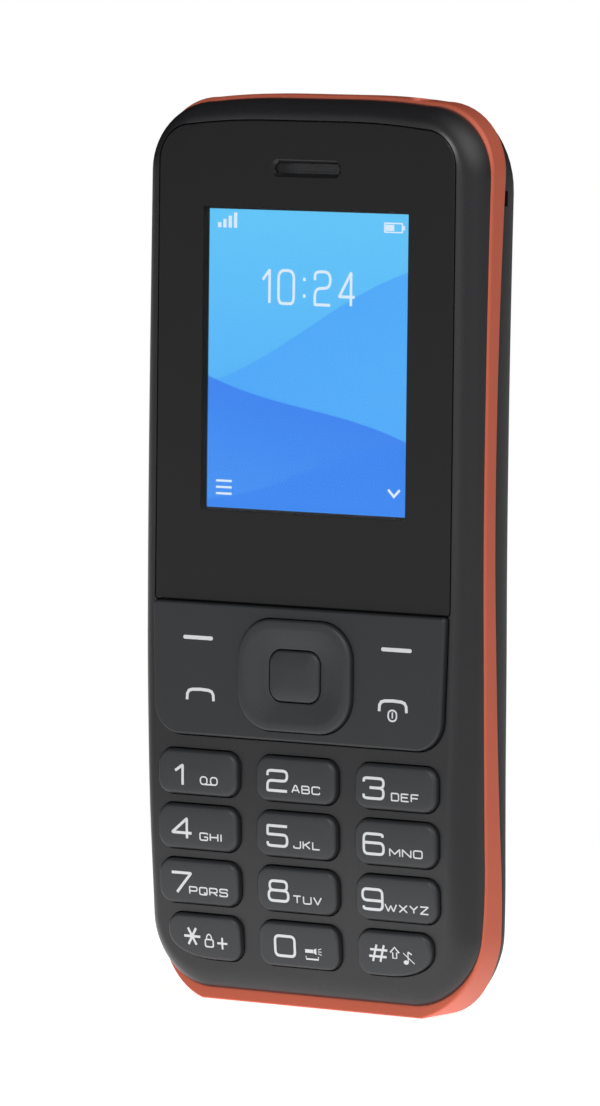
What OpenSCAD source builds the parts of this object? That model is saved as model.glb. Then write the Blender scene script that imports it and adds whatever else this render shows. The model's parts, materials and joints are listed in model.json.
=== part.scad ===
// Bar phone with a number pad, a four-way pad and a lift-off back cover.
// Millimetres. +Z runs up the phone, the front faces -Y and the foot stands on Z = 0.

/* [Body] */
// Width over the coral band
body_w = 46.9; // [46:0.1:50]
// Height from the flat foot to the top of the band
body_h = 107.05; // [105:0.05:112]
// Depth from the display panel's face to the back
body_t = 12.6; // [12.5:0.1:14]
// Corner radius of the shells at the top
top_r = 8.1; // [7.6:0.1:10]
// Corner radius of the front shell at the foot
foot_r = 8.3; // [7.8:0.1:10]
// How much the sides have drawn in at the foot
side_taper = 1; // [0.5:0.05:1.2]
// Height below which the sides draw in
taper_z = 44; // [36:0.5:48]
// Rise of the arched top edge
top_arch = 0.4; // [0.1:0.05:0.8]
// Height cut off the bottom curve for the flat foot
foot_cut = 0.35; // [0.1:0.05:0.6]
// Wall of the shells
wall = 1.2; // [1:0.05:1.3]
// Parting line between two shells
seam = 0.1; // [0.05:0.01:0.2]
// Plan width of the front shell's rounded edge
rim_w = 2.55; // [2.3:0.05:2.8]
// Fullness of that edge, 2 for a quarter ellipse
rim_n = 1.85; // [1.6:0.05:2.3]
// Height below which the front falls back
bend_z = 29.2; // [20:0.1:30]
// How far the front has fallen back at the foot
bend_d = 1.93; // [0.5:0.01:2.2]

/* [Band] */
// How far the band stands proud of the shells
band_proud = 0.25; // [0.1:0.05:0.4]
// How far the band shows below the front shell
band_lip = 1.4; // [0.8:0.1:1.6]
// Corner radius of the band at the foot
band_r = 10; // [9.5:0.1:11]
// Soft edge of the band
band_edge = 0.35; // [0.2:0.05:0.5]
// Thickness of the band under the foot opening
band_foot = 1.6; // [1.4:0.1:2]
// Height where the band lies nearest the front
band_z = 62; // [55:1:68]
// Depth of the band's front edge at that height
band_front = 3; // [2.9:0.05:3.3]
// Extra depth of the front edge at the top
band_front_top = 0.95; // [0.6:0.05:1.2]
// Extra depth of the front edge at the foot
band_front_foot = 3.8; // [3.6:0.05:4]
// How far that edge turns forward again at the foot
band_front_curl = 3.9; // [3.5:0.05:4]
// Depth of the band's rear edge at that height
band_rear = 5.15; // [5.05:0.05:5.5]
// Extra depth of the rear edge at the top
band_rear_top = 1.9; // [1.8:0.05:2.2]
// Extra depth of the rear edge at the foot
band_rear_foot = 5.95; // [5.8:0.05:6.1]
// How far that edge turns forward again towards the foot
band_rear_curl = 2.95; // [2.8:0.05:3.1]
// Height below which the edges turn forward
curl_z = 18; // [17:0.1:19]
// Extra depth of the rear edge at the foot, around the sockets
socket_flare = 2.6; // [2.5:0.05:2.8]
// Height of that extra depth
flare_z = 7; // [6.5:0.1:7.5]

/* [Back cover] */
// Wall of the back cover
cover_t = 1; // [0.8:0.05:1.1]
// Plan width of the cover's rounded edge
cover_round = 5; // [4:0.1:5.5]
// Corner radius of the cover at the foot
cover_r = 9.4; // [9:0.1:10]
// Height of the cover's lower edge above the foot
cover_lip = 0.25; // [0.1:0.05:0.5]
// Pry notch's centre below the top of the band
notch_drop = 11.6; // [11:0.1:18]
// Length of the pry notch
notch_h = 1.8; // [1.2:0.1:3]
// Depth of the pry notch
notch_d = 0.9; // [0.6:0.1:1.2]
// Gap between the cover and the chassis
rear_gap = 0.45; // [0.35:0.05:0.6]

/* [Display] */
// Flat strip between the rounded edge and the panel at the top
lens_margin = 0.18; // [0.1:0.01:0.5]
// Thickness of the display panel
lens_t = 1; // [0.8:0.05:1.05]
// Upper corner radius of the panel
lens_r = 4.3; // [3:0.1:5]
// Rise of the panel's arched top edge
lens_arch = 0.65; // [0.3:0.05:0.9]
// Gap around the display panel
lens_gap = 0.12; // [0.08:0.01:0.15]
// Thickness of the panel's adhesive
adhesive_t = 0.15; // [0.1:0.01:0.18]
// Depth of the ledge's back face behind the panel
ledge_d = 2; // [1.9:0.05:2.1]
// Height of the panel above the lit picture
picture_head = 10.45; // [10.2:0.01:11]
// Height of the panel below the lit picture
picture_foot = 11.06; // [10.5:0.01:12]
// Glass border beside the lit picture
glass_edge = 2.635; // [2.2:0.005:2.8]
// Glass border above the lit picture
glass_head = 1.8; // [1.2:0.05:2]
// Glass border below the lit picture
glass_tail = 3; // [2:0.1:4]
// Thickness of the display glass
glass_t = 1.2; // [1:0.05:1.25]
// Width of the earpiece slot
slot_w = 9.8; // [8:0.1:12]
// Height of the earpiece slot
slot_h = 2; // [1.6:0.1:2.4]
// Earpiece slot centre below the panel's top
slot_drop = 5.5; // [5.4:0.1:5.8]

/* [Keys] */
// How much narrower the function plate is than the panel on each side
plate_inset = 0.15; // [0.1:0.01:0.5]
// How much the plate's sides draw in from its top to its foot
plate_taper = 0.5; // [0.2:0.05:0.8]
// Height of the function plate
plate_h = 15.65; // [15.5:0.05:16]
// Lower corner radius of the function plate
plate_r = 3.5; // [2.5:0.1:4]
// Thickness of the function plate
plate_t = 1.6; // [1.5:0.05:1.7]
// How far the plate stands proud of the panel
plate_proud = 0.8; // [0.7:0.05:0.9]
// Gap beside the plate
plate_gap = 0.15; // [0.12:0.01:0.3]
// Width of the four-way ring
pad_w = 16; // [15:0.1:16.4]
// Height of the four-way ring
pad_h = 13.3; // [12.6:0.1:13.5]
// Corner radius of the four-way ring
pad_r = 4.6; // [4:0.1:5]
// How far the four-way ring stands proud of the panel
nav_proud = 1.5; // [1.3:0.05:1.7]
// Depth of the dish inside the ring
pad_dish = 0.65; // [0.4:0.05:0.8]
// Width of the centre key
ok_w = 7; // [6.4:0.1:7.4]
// Height of the centre key
ok_h = 6; // [5.4:0.1:6.2]
// Corner radius of the centre key
ok_r = 2; // [1.5:0.1:2.3]
// Gap between the plate, the ring and the centre key
nav_gap = 0.22; // [0.18:0.01:0.3]
// Height of the last row's lower edge above the foot
keypad_foot = 5; // [4.8:0.05:5.5]
// Distance of the outer keys from the panel's side line
key_margin = 1.15; // [0.8:0.05:1.5]
// Gap between key columns
col_gap = 2.65; // [2:0.05:2.9]
// Height of a number key
key_h = 5.3; // [5:0.1:5.4]
// Corner radius of a number key
key_r = 1.7; // [1.5:0.1:2.3]
// Distance between key rows
row_pitch = 6.5; // [6.4:0.05:6.6]
// Gap between the plate and the first row
keypad_gap = 1.8; // [1.6:0.05:1.9]
// How far the keys stand proud of the front
key_proud = 0.85; // [0.6:0.05:1]
// Soft edge of a key
key_edge = 0.45; // [0.3:0.05:0.7]
// Extra height at the middle of a key
key_crown = 0.12; // [0.05:0.01:0.2]
// Gap between a key and its hole
key_gap = 0.13; // [0.12:0.01:0.2]
// How much narrower the outer keys of the last row are
last_trim = 1; // [0.5:0.1:1.5]
// Width of the round lower corner on those keys
last_rx = 6; // [4:0.1:6.5]
// Height of the round lower corner on those keys
last_rz = 3; // [2.4:0.1:3]
// How far a key's flange reaches past its hole
flange_w = 0.25; // [0.2:0.05:0.3]
// Thickness of a key's flange
flange_t = 0.25; // [0.2:0.01:0.26]

/* [Inside] */
// Thickness of the keymat
mat_t = 0.45; // [0.4:0.05:0.5]
// Thickness of the main board
board_t = 1; // [0.8:0.05:1]
// Gap between the main board and the shells
board_gap = 1.25; // [1:0.05:1.5]
// Height of the parts behind the main board
part_h = 1.3; // [1.1:0.05:1.3]
// Thickness of the battery bay's floor
bay_floor = 0.6; // [0.5:0.05:0.6]
// Height of the space for the sockets below the battery
lower_h = 16; // [15:0.1:17]
// Height of the block between that space and the battery bay
lower_block = 6; // [5:0.1:8]
// Height of the space for the loudspeaker above the battery
upper_h = 22; // [20:0.1:24]
// Distance of that space from the top of the shells
upper_drop = 6.6; // [6.2:0.1:7.5]
// Height of the wall between that space and the battery bay
upper_wall = 3.75; // [3.7:0.05:4.5]
// Gap around the battery
battery_gap = 0.3; // [0.2:0.05:0.4]
// Distance of the screws from the sides of the shells
screw_inset = 3.95; // [3.8:0.05:4]
// Height of the lower screws above the panel's lower edge
screw_low_rise = 3.1; // [2.5:0.1:5]
// Distance of the upper screws from the top of the loudspeaker's space
screw_high_drop = 10; // [9:0.1:15]
// Radius of a screw's shank
screw_r = 0.7; // [0.6:0.05:0.7]
// Radius of a screw's head
screw_head_r = 1.15; // [1:0.05:1.2]
// Length of a screw's shank
screw_len = 5.4; // [5:0.1:5.6]
// Radius of the headphone jack's bore
jack_r = 1.8; // [1.75:0.01:1.85]
// Length of the headphone jack
jack_len = 12; // [11:0.5:13]
// Distance of the headphone jack from the middle
jack_x = 8; // [7:0.1:9]
// Distance of the charging socket from the middle
usb_x = 8; // [7:0.1:9]
// Width of the charging socket's mouth
usb_w = 7; // [6.8:0.1:7.2]
// Height of the charging socket's mouth
usb_h = 1.9; // [1.8:0.05:2]
// Distance of the torch from the side of the band
torch_inset = 10.9; // [10.5:0.1:14]
// Depth of the torch's axis
torch_d = 5.5; // [5.4:0.05:5.6]
// Radius of the torch's lens
torch_r = 1.1; // [1:0.05:1.15]
// Radius of the loudspeaker
speaker_r = 7.5; // [6:0.1:7.8]
// Gap between the vibration motor and the walls of its space
motor_gap = 0.55; // [0.4:0.05:0.7]
// Width of the receiver
receiver_w = 11.8; // [10:0.1:13]
// Height of the receiver
receiver_h = 5.2; // [4.6:0.1:5.4]
// Width of the display's flexible tail
flex_w = 14; // [10:0.5:18]

/* [Hidden] */
$fn = 40;
arc_n = 6;
side_n = 9;
arch_n = 3;
corner_n = 5;
fine = 0.05;
past = 1;

hw = body_w / 2;
shell_hw = hw - band_proud;
shell_top = body_h - band_proud;
front_y = (nav_proud - body_t) / 2;

lens_w = 2 * (shell_hw - rim_w - fine);
plate_w = lens_w - 2 * plate_inset;
key_w = (lens_w - 2 * key_margin - 2 * col_gap) / 3;
col_pitch = key_w + col_gap;
row_z = keypad_foot + key_h / 2 + 3 * row_pitch;
plate_bottom = row_z + key_h / 2 + keypad_gap;
plate_top = plate_bottom + plate_h;
lens_bottom = plate_top + 0.15;
lens_top = shell_top - rim_w - lens_gap - lens_margin;
slot_z = lens_top - slot_drop;
screw_x = shell_hw - screw_inset;
boss_r = 1.5;

backlight_edge = 0.7;
backlight_w = 2 * (screw_x - boss_r - 0.4);
glass_w = backlight_w - 2 * backlight_edge;
glass_d = lens_t + adhesive_t + fine;
picture_w = glass_w - 2 * glass_edge;
picture_top = lens_top - picture_head;
picture_bottom = lens_bottom + picture_foot;
glass_top = picture_top + glass_head;
glass_bottom = picture_bottom - glass_tail;
window_gap = 0.2;
recess_d = 1.45;
pad_z = plate_top - plate_h / 2 - 0.1;
pad_skirt = 1.65;
pad_flange = 0.7;
pad_flange_t = 0.35;
post_r = 0.9;
plate_post_x = 14;
plate_post_z = 4;
ok_flange_d = 2.45;
ok_flange_t = 0.3;
nib = 2;
nib_t = 0.4;

mat_w = lens_w - 2.4;
mat_bottom = row_z - 3 * row_pitch - key_h / 2 - flange_w - key_gap;
mat_top = plate_top - 1;
pocket_edge = 0.45;

dome_r = 2.2;
dome_t = 0.25;
sheet_t = 0.1;
plunger_r = 1;
plunger_t = 0.3;
lid_gap = 0.25;
mat_d = max(flange_d(3) + flange_t, ok_flange_d + ok_flange_t, ledge_d + 0.8) + 0.07;
post_end = mat_d - fine;
dome_d = mat_d + mat_t + plunger_t + fine;
board_d = dome_d + dome_t + sheet_t;
board_rear = board_d + board_t;
part_rear = board_rear + part_h;
chassis_d = board_rear + 0.8;
bay_d = part_rear + 0.1 + bay_floor;
battery_t = body_t - cover_t - lid_gap - bay_d - fine;
chassis_back = body_t - cover_t - rear_gap;
battery_w = 2 * (screw_x - boss_r - 0.3 - battery_gap);
upper_z1 = shell_top - upper_drop;
upper_z0 = upper_z1 - upper_h;
battery_top = upper_z0 - upper_wall - battery_gap;
battery_bottom = lower_h + lower_block;
battery_h = battery_top - battery_bottom;
battery_z = (battery_top + battery_bottom) / 2;
upper_w = battery_w + 1;
upper_d = chassis_back - 0.95;
lower_w = battery_w - 2;
screw_low_z = lens_bottom + screw_low_rise;
screw_high_z = upper_z1 - screw_high_drop;
notch_z = body_h - notch_drop;
mouth_z = band_foot + 0.15;
jack_body = 5;
jack_d = board_rear + jack_body / 2 + fine;
lower_d = jack_d + jack_body / 2 + 0.4;
usb_d = jack_d - 0.1;
usb_wall = 0.4;
usb_len = 5.4;
port_gap = 0.2;
speaker_x = upper_w / 2 - speaker_r - 1.5;
speaker_z = upper_z1 - speaker_r - 1.6;
speaker_t = 3;
motor_r = (upper_d - board_rear) / 2 - motor_gap;
motor_len = 8;
weight_len = 3;
weight_gap = 0.6;
motor_x = upper_w / 2 - 0.9 - motor_len - weight_gap - weight_len;
motor_z = upper_z0 + motor_r + 1.8;
motor_d = board_rear + motor_r + 0.1;
shaft_r = 0.4;
connector_w = 10;
connector_z0 = battery_top + 0.45;
connector_h = 3;
contact_gap = 0.15;
contact_w = 0.8;
contact_pitch = 3;
card_w = 12.6;
card_x = card_w / 2 + 1.2;
card_z = battery_bottom + card_w / 2 + 2.5;
sim_w = 13;
sim_h = 14;
sim_x = sim_w / 2 + 0.9;
sim_z = card_z + (card_w + sim_h) / 2 + 2.5;
torch_x = hw - torch_inset;
torch_foot = shell_top - wall - board_gap + 0.15;
antenna_t = 0.2;
antenna_w = 24;
antenna_h = 10;
antenna_z = 13.5;
head_t = 0.8;

KEY_NAMES = [["1", "2", "3"], ["4", "5", "6"], ["7", "8", "9"], ["star", "0", "hash"]];
KEYS = [for (row = [0:3], col = [0:2]) [str("key_", KEY_NAMES[row][col]), col, row]];

// Depths that change along the phone, measured back from the display panel's face

function front(z) = bend_d * below(z, bend_z);
function below(z, height) = pow(max(height - z, 0) / height, 2);
function arc_depth(z, mid, top, foot, curl) =
    mid + top * pow(max(z - band_z, 0) / (body_h - band_z), 2)
        + foot * below(z, band_z) - curl * below(z, curl_z);
function band_front_d(z) = arc_depth(z, band_front, band_front_top, band_front_foot, band_front_curl);
function band_rear_d(z) =
    arc_depth(z, band_rear, band_rear_top, band_rear_foot, band_rear_curl) + socket_flare * below(z, flare_z);

// Outlines in the X-Z plane, run anticlockwise as seen from the front

function half_outline(w, z0, z1, r0, r1, arch, cut) =
    let (a0 = acos(1 - cut / r0), corner_z = z1 - arch - r1)
    concat(
        [for (k = [0:arc_n]) let (a = a0 + (90 - a0) * k / arc_n)
            [w - r0 + r0 * sin(a), z0 + r0 - r0 * cos(a)]],
        [for (k = [1:side_n - 1]) [w, z0 + r0 + (corner_z - z0 - r0) * k / side_n]],
        [for (k = [0:arc_n]) let (a = 90 * k / arc_n) [w - r1 + r1 * cos(a), corner_z + r1 * sin(a)]],
        arch == 0 ? [] : [for (k = [arch_n - 1:-1:1])
            [(w - r1) * k / arch_n, z1 - arch * pow((k - 1) / (arch_n - 1), 2)]]
    );
function mirrored(half) = concat(half, [for (i = [len(half) - 1:-1:0]) [-half[i].x, half[i].y]]);
function outline(w, z0, z1, r0, r1, arch, cut = 0) = mirrored(half_outline(w, z0, z1, r0, r1, arch, cut));
function tapered(points) = [
    for (p = points) [p.x * (1 - side_taper / hw * pow(max(taper_z - p.y, 0) / taper_z, 1.5)), p.y]
];
function shell_outline(inset) = tapered(outline(
    shell_hw - inset, band_lip + inset, shell_top - inset, foot_r - inset, top_r - inset, top_arch
));
function band_outline(inset) = tapered(outline(
    hw - inset, inset - foot_cut, body_h - inset, band_r - inset, top_r - inset, top_arch, foot_cut
));
function band_opening() = tapered(outline(
    shell_hw - wall, band_foot, shell_top - wall, cover_r - wall, top_r - wall, top_arch
));
function cover_outline(inset) = tapered(outline(
    shell_hw - inset, cover_lip + inset, shell_top - inset, cover_r - inset, top_r - inset, top_arch
));
function lens_outline(grow) = outline(
    lens_w / 2 + grow, lens_bottom - grow, lens_top + grow, max(0.4 + grow, 0.1), lens_r + grow, lens_arch
);
function plate_outline(grow) = let (
    square_sided = outline(
        plate_w / 2 + grow, plate_bottom - grow, plate_top + grow, plate_r + grow, 0.5 + grow, 0
    )
) [for (p = square_sided) [p.x * (1 - 2 * plate_taper / plate_w * (plate_top - p.y) / plate_h), p.y]];

// Rounded rectangle whose corners are [width, height] pairs: lower right, upper right, upper left, lower left
function pill(w, h, corners, x = 0, z = 0) = [
    for (q = [0:3], k = [0:corner_n])
        let (a = 90 * (q - 1) + 90 * k / corner_n, c = corners[q])
        let (sx = (q == 0 || q == 1) ? 1 : -1, sz = (q == 1 || q == 2) ? 1 : -1)
        [x + sx * (w / 2 - c.x) + c.x * cos(a), z + sz * (h / 2 - c.y) + c.y * sin(a)]
];
function even(r) = [for (q = [0:3]) [r, r]];
function shrunk(corners, d) = [for (c = corners) [max(c.x - d, 0.2), max(c.y - d, 0.2)]];

// Closed solids through a row of outlines, from the front one to the back one

function flat_at(d) = function(z) d;
function ring_points(outlines, depths) =
    [for (k = [0:len(outlines) - 1], p = outlines[k]) [p.x, depths[k](p.y), p.y]];
function side_faces(n, rings) = [
    for (k = [0:rings - 2], i = [0:n - 1]) let (j = (i + 1) % n, a = k * n, b = a + n)
        each [[a + i, a + j, b + j], [a + i, b + j, b + i]]
];
function ladder_faces(n, start, turn) = [
    for (i = [0:n / 2 - 2]) let (q = [i + 1, i, n - 1 - i, n - 2 - i])
        [for (k = [0:3]) start + q[turn ? 3 - k : k]]
];

module loft(outlines, depths) {
    n = len(outlines[0]);
    rings = len(outlines);
    polyhedron(
        ring_points(outlines, depths),
        concat(side_faces(n, rings), ladder_faces(n, 0, false), ladder_faces(n, (rings - 1) * n, true))
    );
}

// As loft, with its front drawn up to one crown point and a flat back
module capped_loft(outlines, depths, crown) {
    n = len(outlines[0]);
    rings = len(outlines);
    peak = rings * n;
    polyhedron(
        concat(ring_points(outlines, depths), [crown]),
        concat(
            side_faces(n, rings),
            [for (i = [0:n - 1]) [(i + 1) % n, i, peak]],
            [[for (i = [0:n - 1]) (rings - 1) * n + i]]
        )
    );
}

// Straight solids that run back from depth d0 to depth d1

module placed(tint) color(tint) translate([0, front_y, 0]) children();
module slab(d0, d1) translate([0, d1, 0]) rotate([90, 0, 0]) linear_extrude(d1 - d0) children();
module block(x, z, w, h, d0, d1) translate([x - w / 2, d0, z - h / 2]) cube([w, d1 - d0, h]);
module rod(x, z, d0, d1, r) translate([x, d0, z]) rotate([-90, 0, 0]) cylinder(h = d1 - d0, r = r);
module upright(x, d, z0, z1, r) translate([x, d, z0]) cylinder(h = z1 - z0, r = r);
module crossways(x0, x1, d, z, r) translate([x0, d, z]) rotate([0, 90, 0]) cylinder(h = x1 - x0, r = r);
module stadium(w, h) {
    square([w - h, h], center = true);
    for (s = [-1, 1]) translate([s * (w - h) / 2, 0]) circle(d = h);
}
module at_screws() {
    for (x = [-screw_x, screw_x], z = [screw_low_z, screw_high_z]) translate([x, 0, z]) children();
}

// Places of the keys

function last_outer(col, row) = row == 3 && col != 1;
function key_side(col) = col - 1;
function key_x(col, row) = key_side(col) * (col_pitch - (last_outer(col, row) ? last_trim / 2 : 0));
function key_z(row) = row_z - row * row_pitch;
function key_width(col, row) = key_w - (last_outer(col, row) ? last_trim : 0);
function key_corners(col, row) = [
    row == 3 && col == 2 ? [last_rx, last_rz] : [key_r, key_r],
    [key_r, min(key_r, key_h - last_rz - 0.3)],
    [key_r, min(key_r, key_h - last_rz - 0.3)],
    row == 3 && col == 0 ? [last_rx, last_rz] : [key_r, key_r]
];
function key_outline(col, row, grow) = pill(
    key_width(col, row) + 2 * grow, key_h + 2 * grow, shrunk(key_corners(col, row), -grow),
    key_x(col, row), key_z(row)
);
function flange_d(row) = front(key_z(row) - key_h / 2 - key_gap - flange_w) + wall + fine;
function plate_posts() = [for (x = [-1, 1], z = [-1, 1]) [x * plate_post_x, pad_z + z * plate_post_z]];
function pad_posts() = [[0, pad_z + pad_h / 2 - 1.2], [0, pad_z - pad_h / 2 + 1.2],
    [pad_w / 2 - 1.4, pad_z], [1.4 - pad_w / 2, pad_z]];
function key_centres() = [for (k = KEYS) [key_x(k[1], k[2]), key_z(k[2])]];
function press_points() = concat(key_centres(), plate_posts(), pad_posts(), [[0, pad_z]]);

// Shells

module front_housing() {
    rim = [for (t = [0:18:90]) [rim_w * (1 - pow(sin(t), 2 / rim_n)), 1 - pow(cos(t), 2 / rim_n)]];
    placed("#26272a") difference() {
        union() {
            difference() {
                loft(
                    [for (r = rim) shell_outline(r[0])],
                    [for (r = rim) function(z) front(z) + (band_front_d(z) - front(z)) * r[1]]
                );
                loft(
                    [shell_outline(rim_w - 0.3), shell_outline(wall)],
                    [function(z) front(z) + ledge_d, function(z) band_front_d(z) + past]
                );
                keypad_pocket();
            }
            at_screws() rod(0, 0, ledge_d - fine, board_d, boss_r);
        }
        slab(-past, lens_t + adhesive_t) polygon(lens_outline(lens_gap));
        slab(-past, recess_d) polygon(plate_outline(plate_gap));
        block(0, pad_z, pad_w + 2 * pad_flange + 0.6, pad_h + 2 * pad_flange - 0.2, 0, ledge_d + past);
        for (p = plate_posts()) rod(p.x, p.y, 0, ledge_d + past, post_r + 0.3);
        block(0, (glass_top + glass_bottom) / 2, glass_w + 2 * window_gap,
            glass_top - glass_bottom + 2 * window_gap, 0, ledge_d + past);
        slab(0, ledge_d + past) translate([0, slot_z]) stadium(slot_w - 1.6, slot_h - 0.4);
        for (k = KEYS) slab(-past, bend_d + ledge_d) polygon(key_outline(k[1], k[2], key_gap));
        at_screws() rod(0, 0, ledge_d + 0.5, board_d + past, screw_r + fine);
        for (x = [jack_x, -usb_x]) block(x, mouth_z + 3, 9, 6 + port_gap, board_rear - port_gap, body_t);
    }
}

module keypad_pocket() {
    half = col_pitch + key_w / 2 + key_gap + flange_w + pocket_edge;
    loft(
        [for (i = [0, 1]) outline(half, mat_bottom - pocket_edge, plate_bottom - plate_gap - 0.6, 4, 0.5, 0)],
        [function(z) front(z) + wall, function(z) front(z) + ledge_d + past]
    );
}

module mid_band() {
    placed("#d9644a") difference() {
        loft(
            [shell_outline(fine), band_outline(band_edge / 3), band_outline(0), band_outline(0),
                band_outline(band_edge / 3), cover_outline(fine)],
            [
                function(z) band_front_d(z) + seam,
                function(z) band_front_d(z) + seam + band_edge / 3,
                function(z) band_front_d(z) + seam + band_edge,
                function(z) band_rear_d(z) - band_edge,
                function(z) band_rear_d(z) - band_edge / 3,
                function(z) band_rear_d(z)
            ]
        );
        slab(0, body_t) polygon(band_opening());
        upright(jack_x, jack_d, -past, band_foot + past, jack_r + port_gap);
        translate([0, 0, -past]) linear_extrude(band_foot + 2 * past) translate([-usb_x, usb_d])
            stadium(usb_w + 2 * port_gap, usb_h + 2 * port_gap);
        upright(0, usb_d, -past, band_foot + past, 0.5);
        upright(torch_x, torch_d, shell_top - top_r, body_h + past, torch_r + 0.1);
        upright(torch_x, torch_d, body_h - top_arch - 0.55, body_h + past, torch_r + 0.3);
    }
}

function cover_rings(inset, back) = [
    for (t = [0, 20, 40, 58, 74, 90]) [inset + cover_round * (1 - cos(t)), sin(t), back]
];
function cover_depth(r, start) = function(z)
    let (d0 = max(band_rear_d(z) + seam, start)) d0 + (r[2] - d0) * r[1];

module battery_cover() {
    outer = cover_rings(0, body_t);
    inner = cover_rings(cover_t, body_t - cover_t);
    notch_depth = band_rear_d(notch_z) + seam;
    placed("#232427") difference() {
        loft([for (r = outer) cover_outline(r[0])], [for (r = outer) cover_depth(r, 0)]);
        loft(
            concat([cover_outline(cover_t)], [for (r = inner) cover_outline(r[0])]),
            concat([function(z) band_rear_d(z) - past], [for (r = inner) cover_depth(r, 0)])
        );
        block(shell_hw, notch_z, 2 * cover_t + past, notch_h, notch_depth - past, notch_depth + notch_d);
        grille(body_t - cover_t - past, body_t + past);
    }
}

module grille(d0, d1) {
    for (k = [-2:2]) slab(d0, d1) translate([-speaker_x, speaker_z + 1.8 * k]) stadium(9 - abs(k), 0.9);
}

module rear_housing() {
    inset = cover_t + rear_gap;
    rings = cover_rings(inset, chassis_back);
    bay_w = battery_w + 2 * battery_gap;
    bay_h = battery_h + 2 * battery_gap;
    placed("#2f3033") difference() {
        union() {
            loft(
                concat([cover_outline(inset)], [for (r = rings) cover_outline(r[0])]),
                concat([flat_at(chassis_d)], [for (r = rings) cover_depth(r, chassis_d + fine)])
            );
            at_screws() rod(0, 0, board_rear, chassis_d + fine, boss_r);
        }
        block(0, battery_z, bay_w, bay_h, bay_d, body_t);
        block(0, battery_z, bay_w, bay_h, chassis_d - past, bay_d - bay_floor);
        block(0, (upper_z0 + upper_z1) / 2, upper_w, upper_h, chassis_d - past, upper_d);
        block(0, lower_h / 2 - past, lower_w, lower_h + 2 * past, chassis_d - past, lower_d);
        block(0, connector_z0 + connector_h / 2, connector_w + 2 * port_gap, connector_h + 2 * port_gap,
            chassis_d - past, upper_d);
        block(0, connector_z0, connector_w + 2 * port_gap, 1, bay_d, upper_d);
        for (s = [-1, 1]) block(s * sim_x, sim_z, sim_w - 2, sim_h - 2, chassis_d, bay_d + past);
        block(-card_x, card_z, card_w - 2, card_w - 2, chassis_d, bay_d + past);
        block(torch_x, torch_foot, 4, 2 * (torch_foot - upper_z1) + 2,
            chassis_d - past, torch_d + torch_r + 0.4);
        block(0, antenna_z, antenna_w + port_gap, antenna_h + port_gap, chassis_back - antenna_t, body_t);
        grille(upper_d - past, body_t);
        at_screws() rod(0, 0, chassis_d - past, body_t, screw_r + 0.15);
        at_screws() rod(0, 0, head_seat(), body_t, screw_head_r + 0.15);
    }
}
function head_seat() = board_d - 1.2 + screw_len;

// Display

module display_lens() {
    bevel = 0.12;
    placed("#1b1b1d") difference() {
        loft(
            [lens_outline(-bevel), lens_outline(0), lens_outline(0)],
            [flat_at(0), flat_at(bevel), flat_at(lens_t)]
        );
        slab(-past, lens_t + past) translate([0, slot_z]) stadium(slot_w - 0.7, slot_h - 0.7);
        slab(-past, lens_t / 3) translate([0, slot_z]) stadium(slot_w, slot_h);
    }
}

module lens_adhesive() {
    placed("#3a3a3c") difference() {
        slab(lens_t, lens_t + adhesive_t) polygon(lens_outline(-0.4));
        block(0, (glass_top + glass_bottom) / 2, glass_w + 2 * window_gap,
            glass_top - glass_bottom + 2 * window_gap, 0, ledge_d);
        slab(0, ledge_d) translate([0, slot_z]) stadium(slot_w, slot_h);
    }
}

module earpiece_mesh() {
    mesh_t = 0.25;
    mesh_d = lens_t - mesh_t;
    placed("#6a6c70") difference() {
        slab(mesh_d, lens_t) translate([0, slot_z]) stadium(slot_w - 0.8, slot_h - 0.8);
        for (i = [-5:5], j = [0, 1]) rod(0.7 * i, slot_z + 0.5 * (j - 0.5), 0, lens_t + past, 0.16, $fn = 8);
    }
}

module lcd_panel() {
    placed("#5fa8ee") block(0, (glass_top + glass_bottom) / 2, glass_w, glass_top - glass_bottom,
        glass_d, glass_d + glass_t);
}

module lcd_backlight() {
    placed("#e8e8e4") block(0, (glass_top + glass_bottom - backlight_edge) / 2, backlight_w,
        glass_top - glass_bottom + backlight_edge, glass_d + glass_t, board_d);
}

module lcd_flex() {
    flex_h = glass_bottom - backlight_edge - mat_top - 1.5;
    placed("#c8862a") block(0, glass_bottom - backlight_edge - flex_h / 2, flex_w, flex_h,
        board_d - 0.15, board_d);
}

// Function keys

module function_plate() {
    edge = 0.25;
    back = plate_t - plate_proud;
    placed("#3b3c3f") {
        difference() {
            loft(
                [plate_outline(-edge), plate_outline(-edge / 4), plate_outline(0), plate_outline(0)],
                [for (d = [0, edge / 4, edge, plate_t]) flat_at(d - plate_proud)]
            );
            slab(-past, past + back) polygon(
                pill(pad_w + 2 * nav_gap, pad_h + 2 * nav_gap, even(pad_r + nav_gap), 0, pad_z)
            );
        }
        for (p = plate_posts()) rod(p.x, p.y, back, post_end, post_r);
    }
}

module function_plate_web() {
    strip = (plate_h - pad_h) / 2 - nav_gap - 0.3;
    placed("#55575a") {
        block(0, plate_top - strip / 2 - 0.1, nib, strip, plate_t - plate_proud + fine, recess_d - 0.2);
        block(0, plate_bottom + strip / 2 + 0.1, nib, strip, plate_t - plate_proud + fine, recess_d - 0.2);
    }
}

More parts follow.
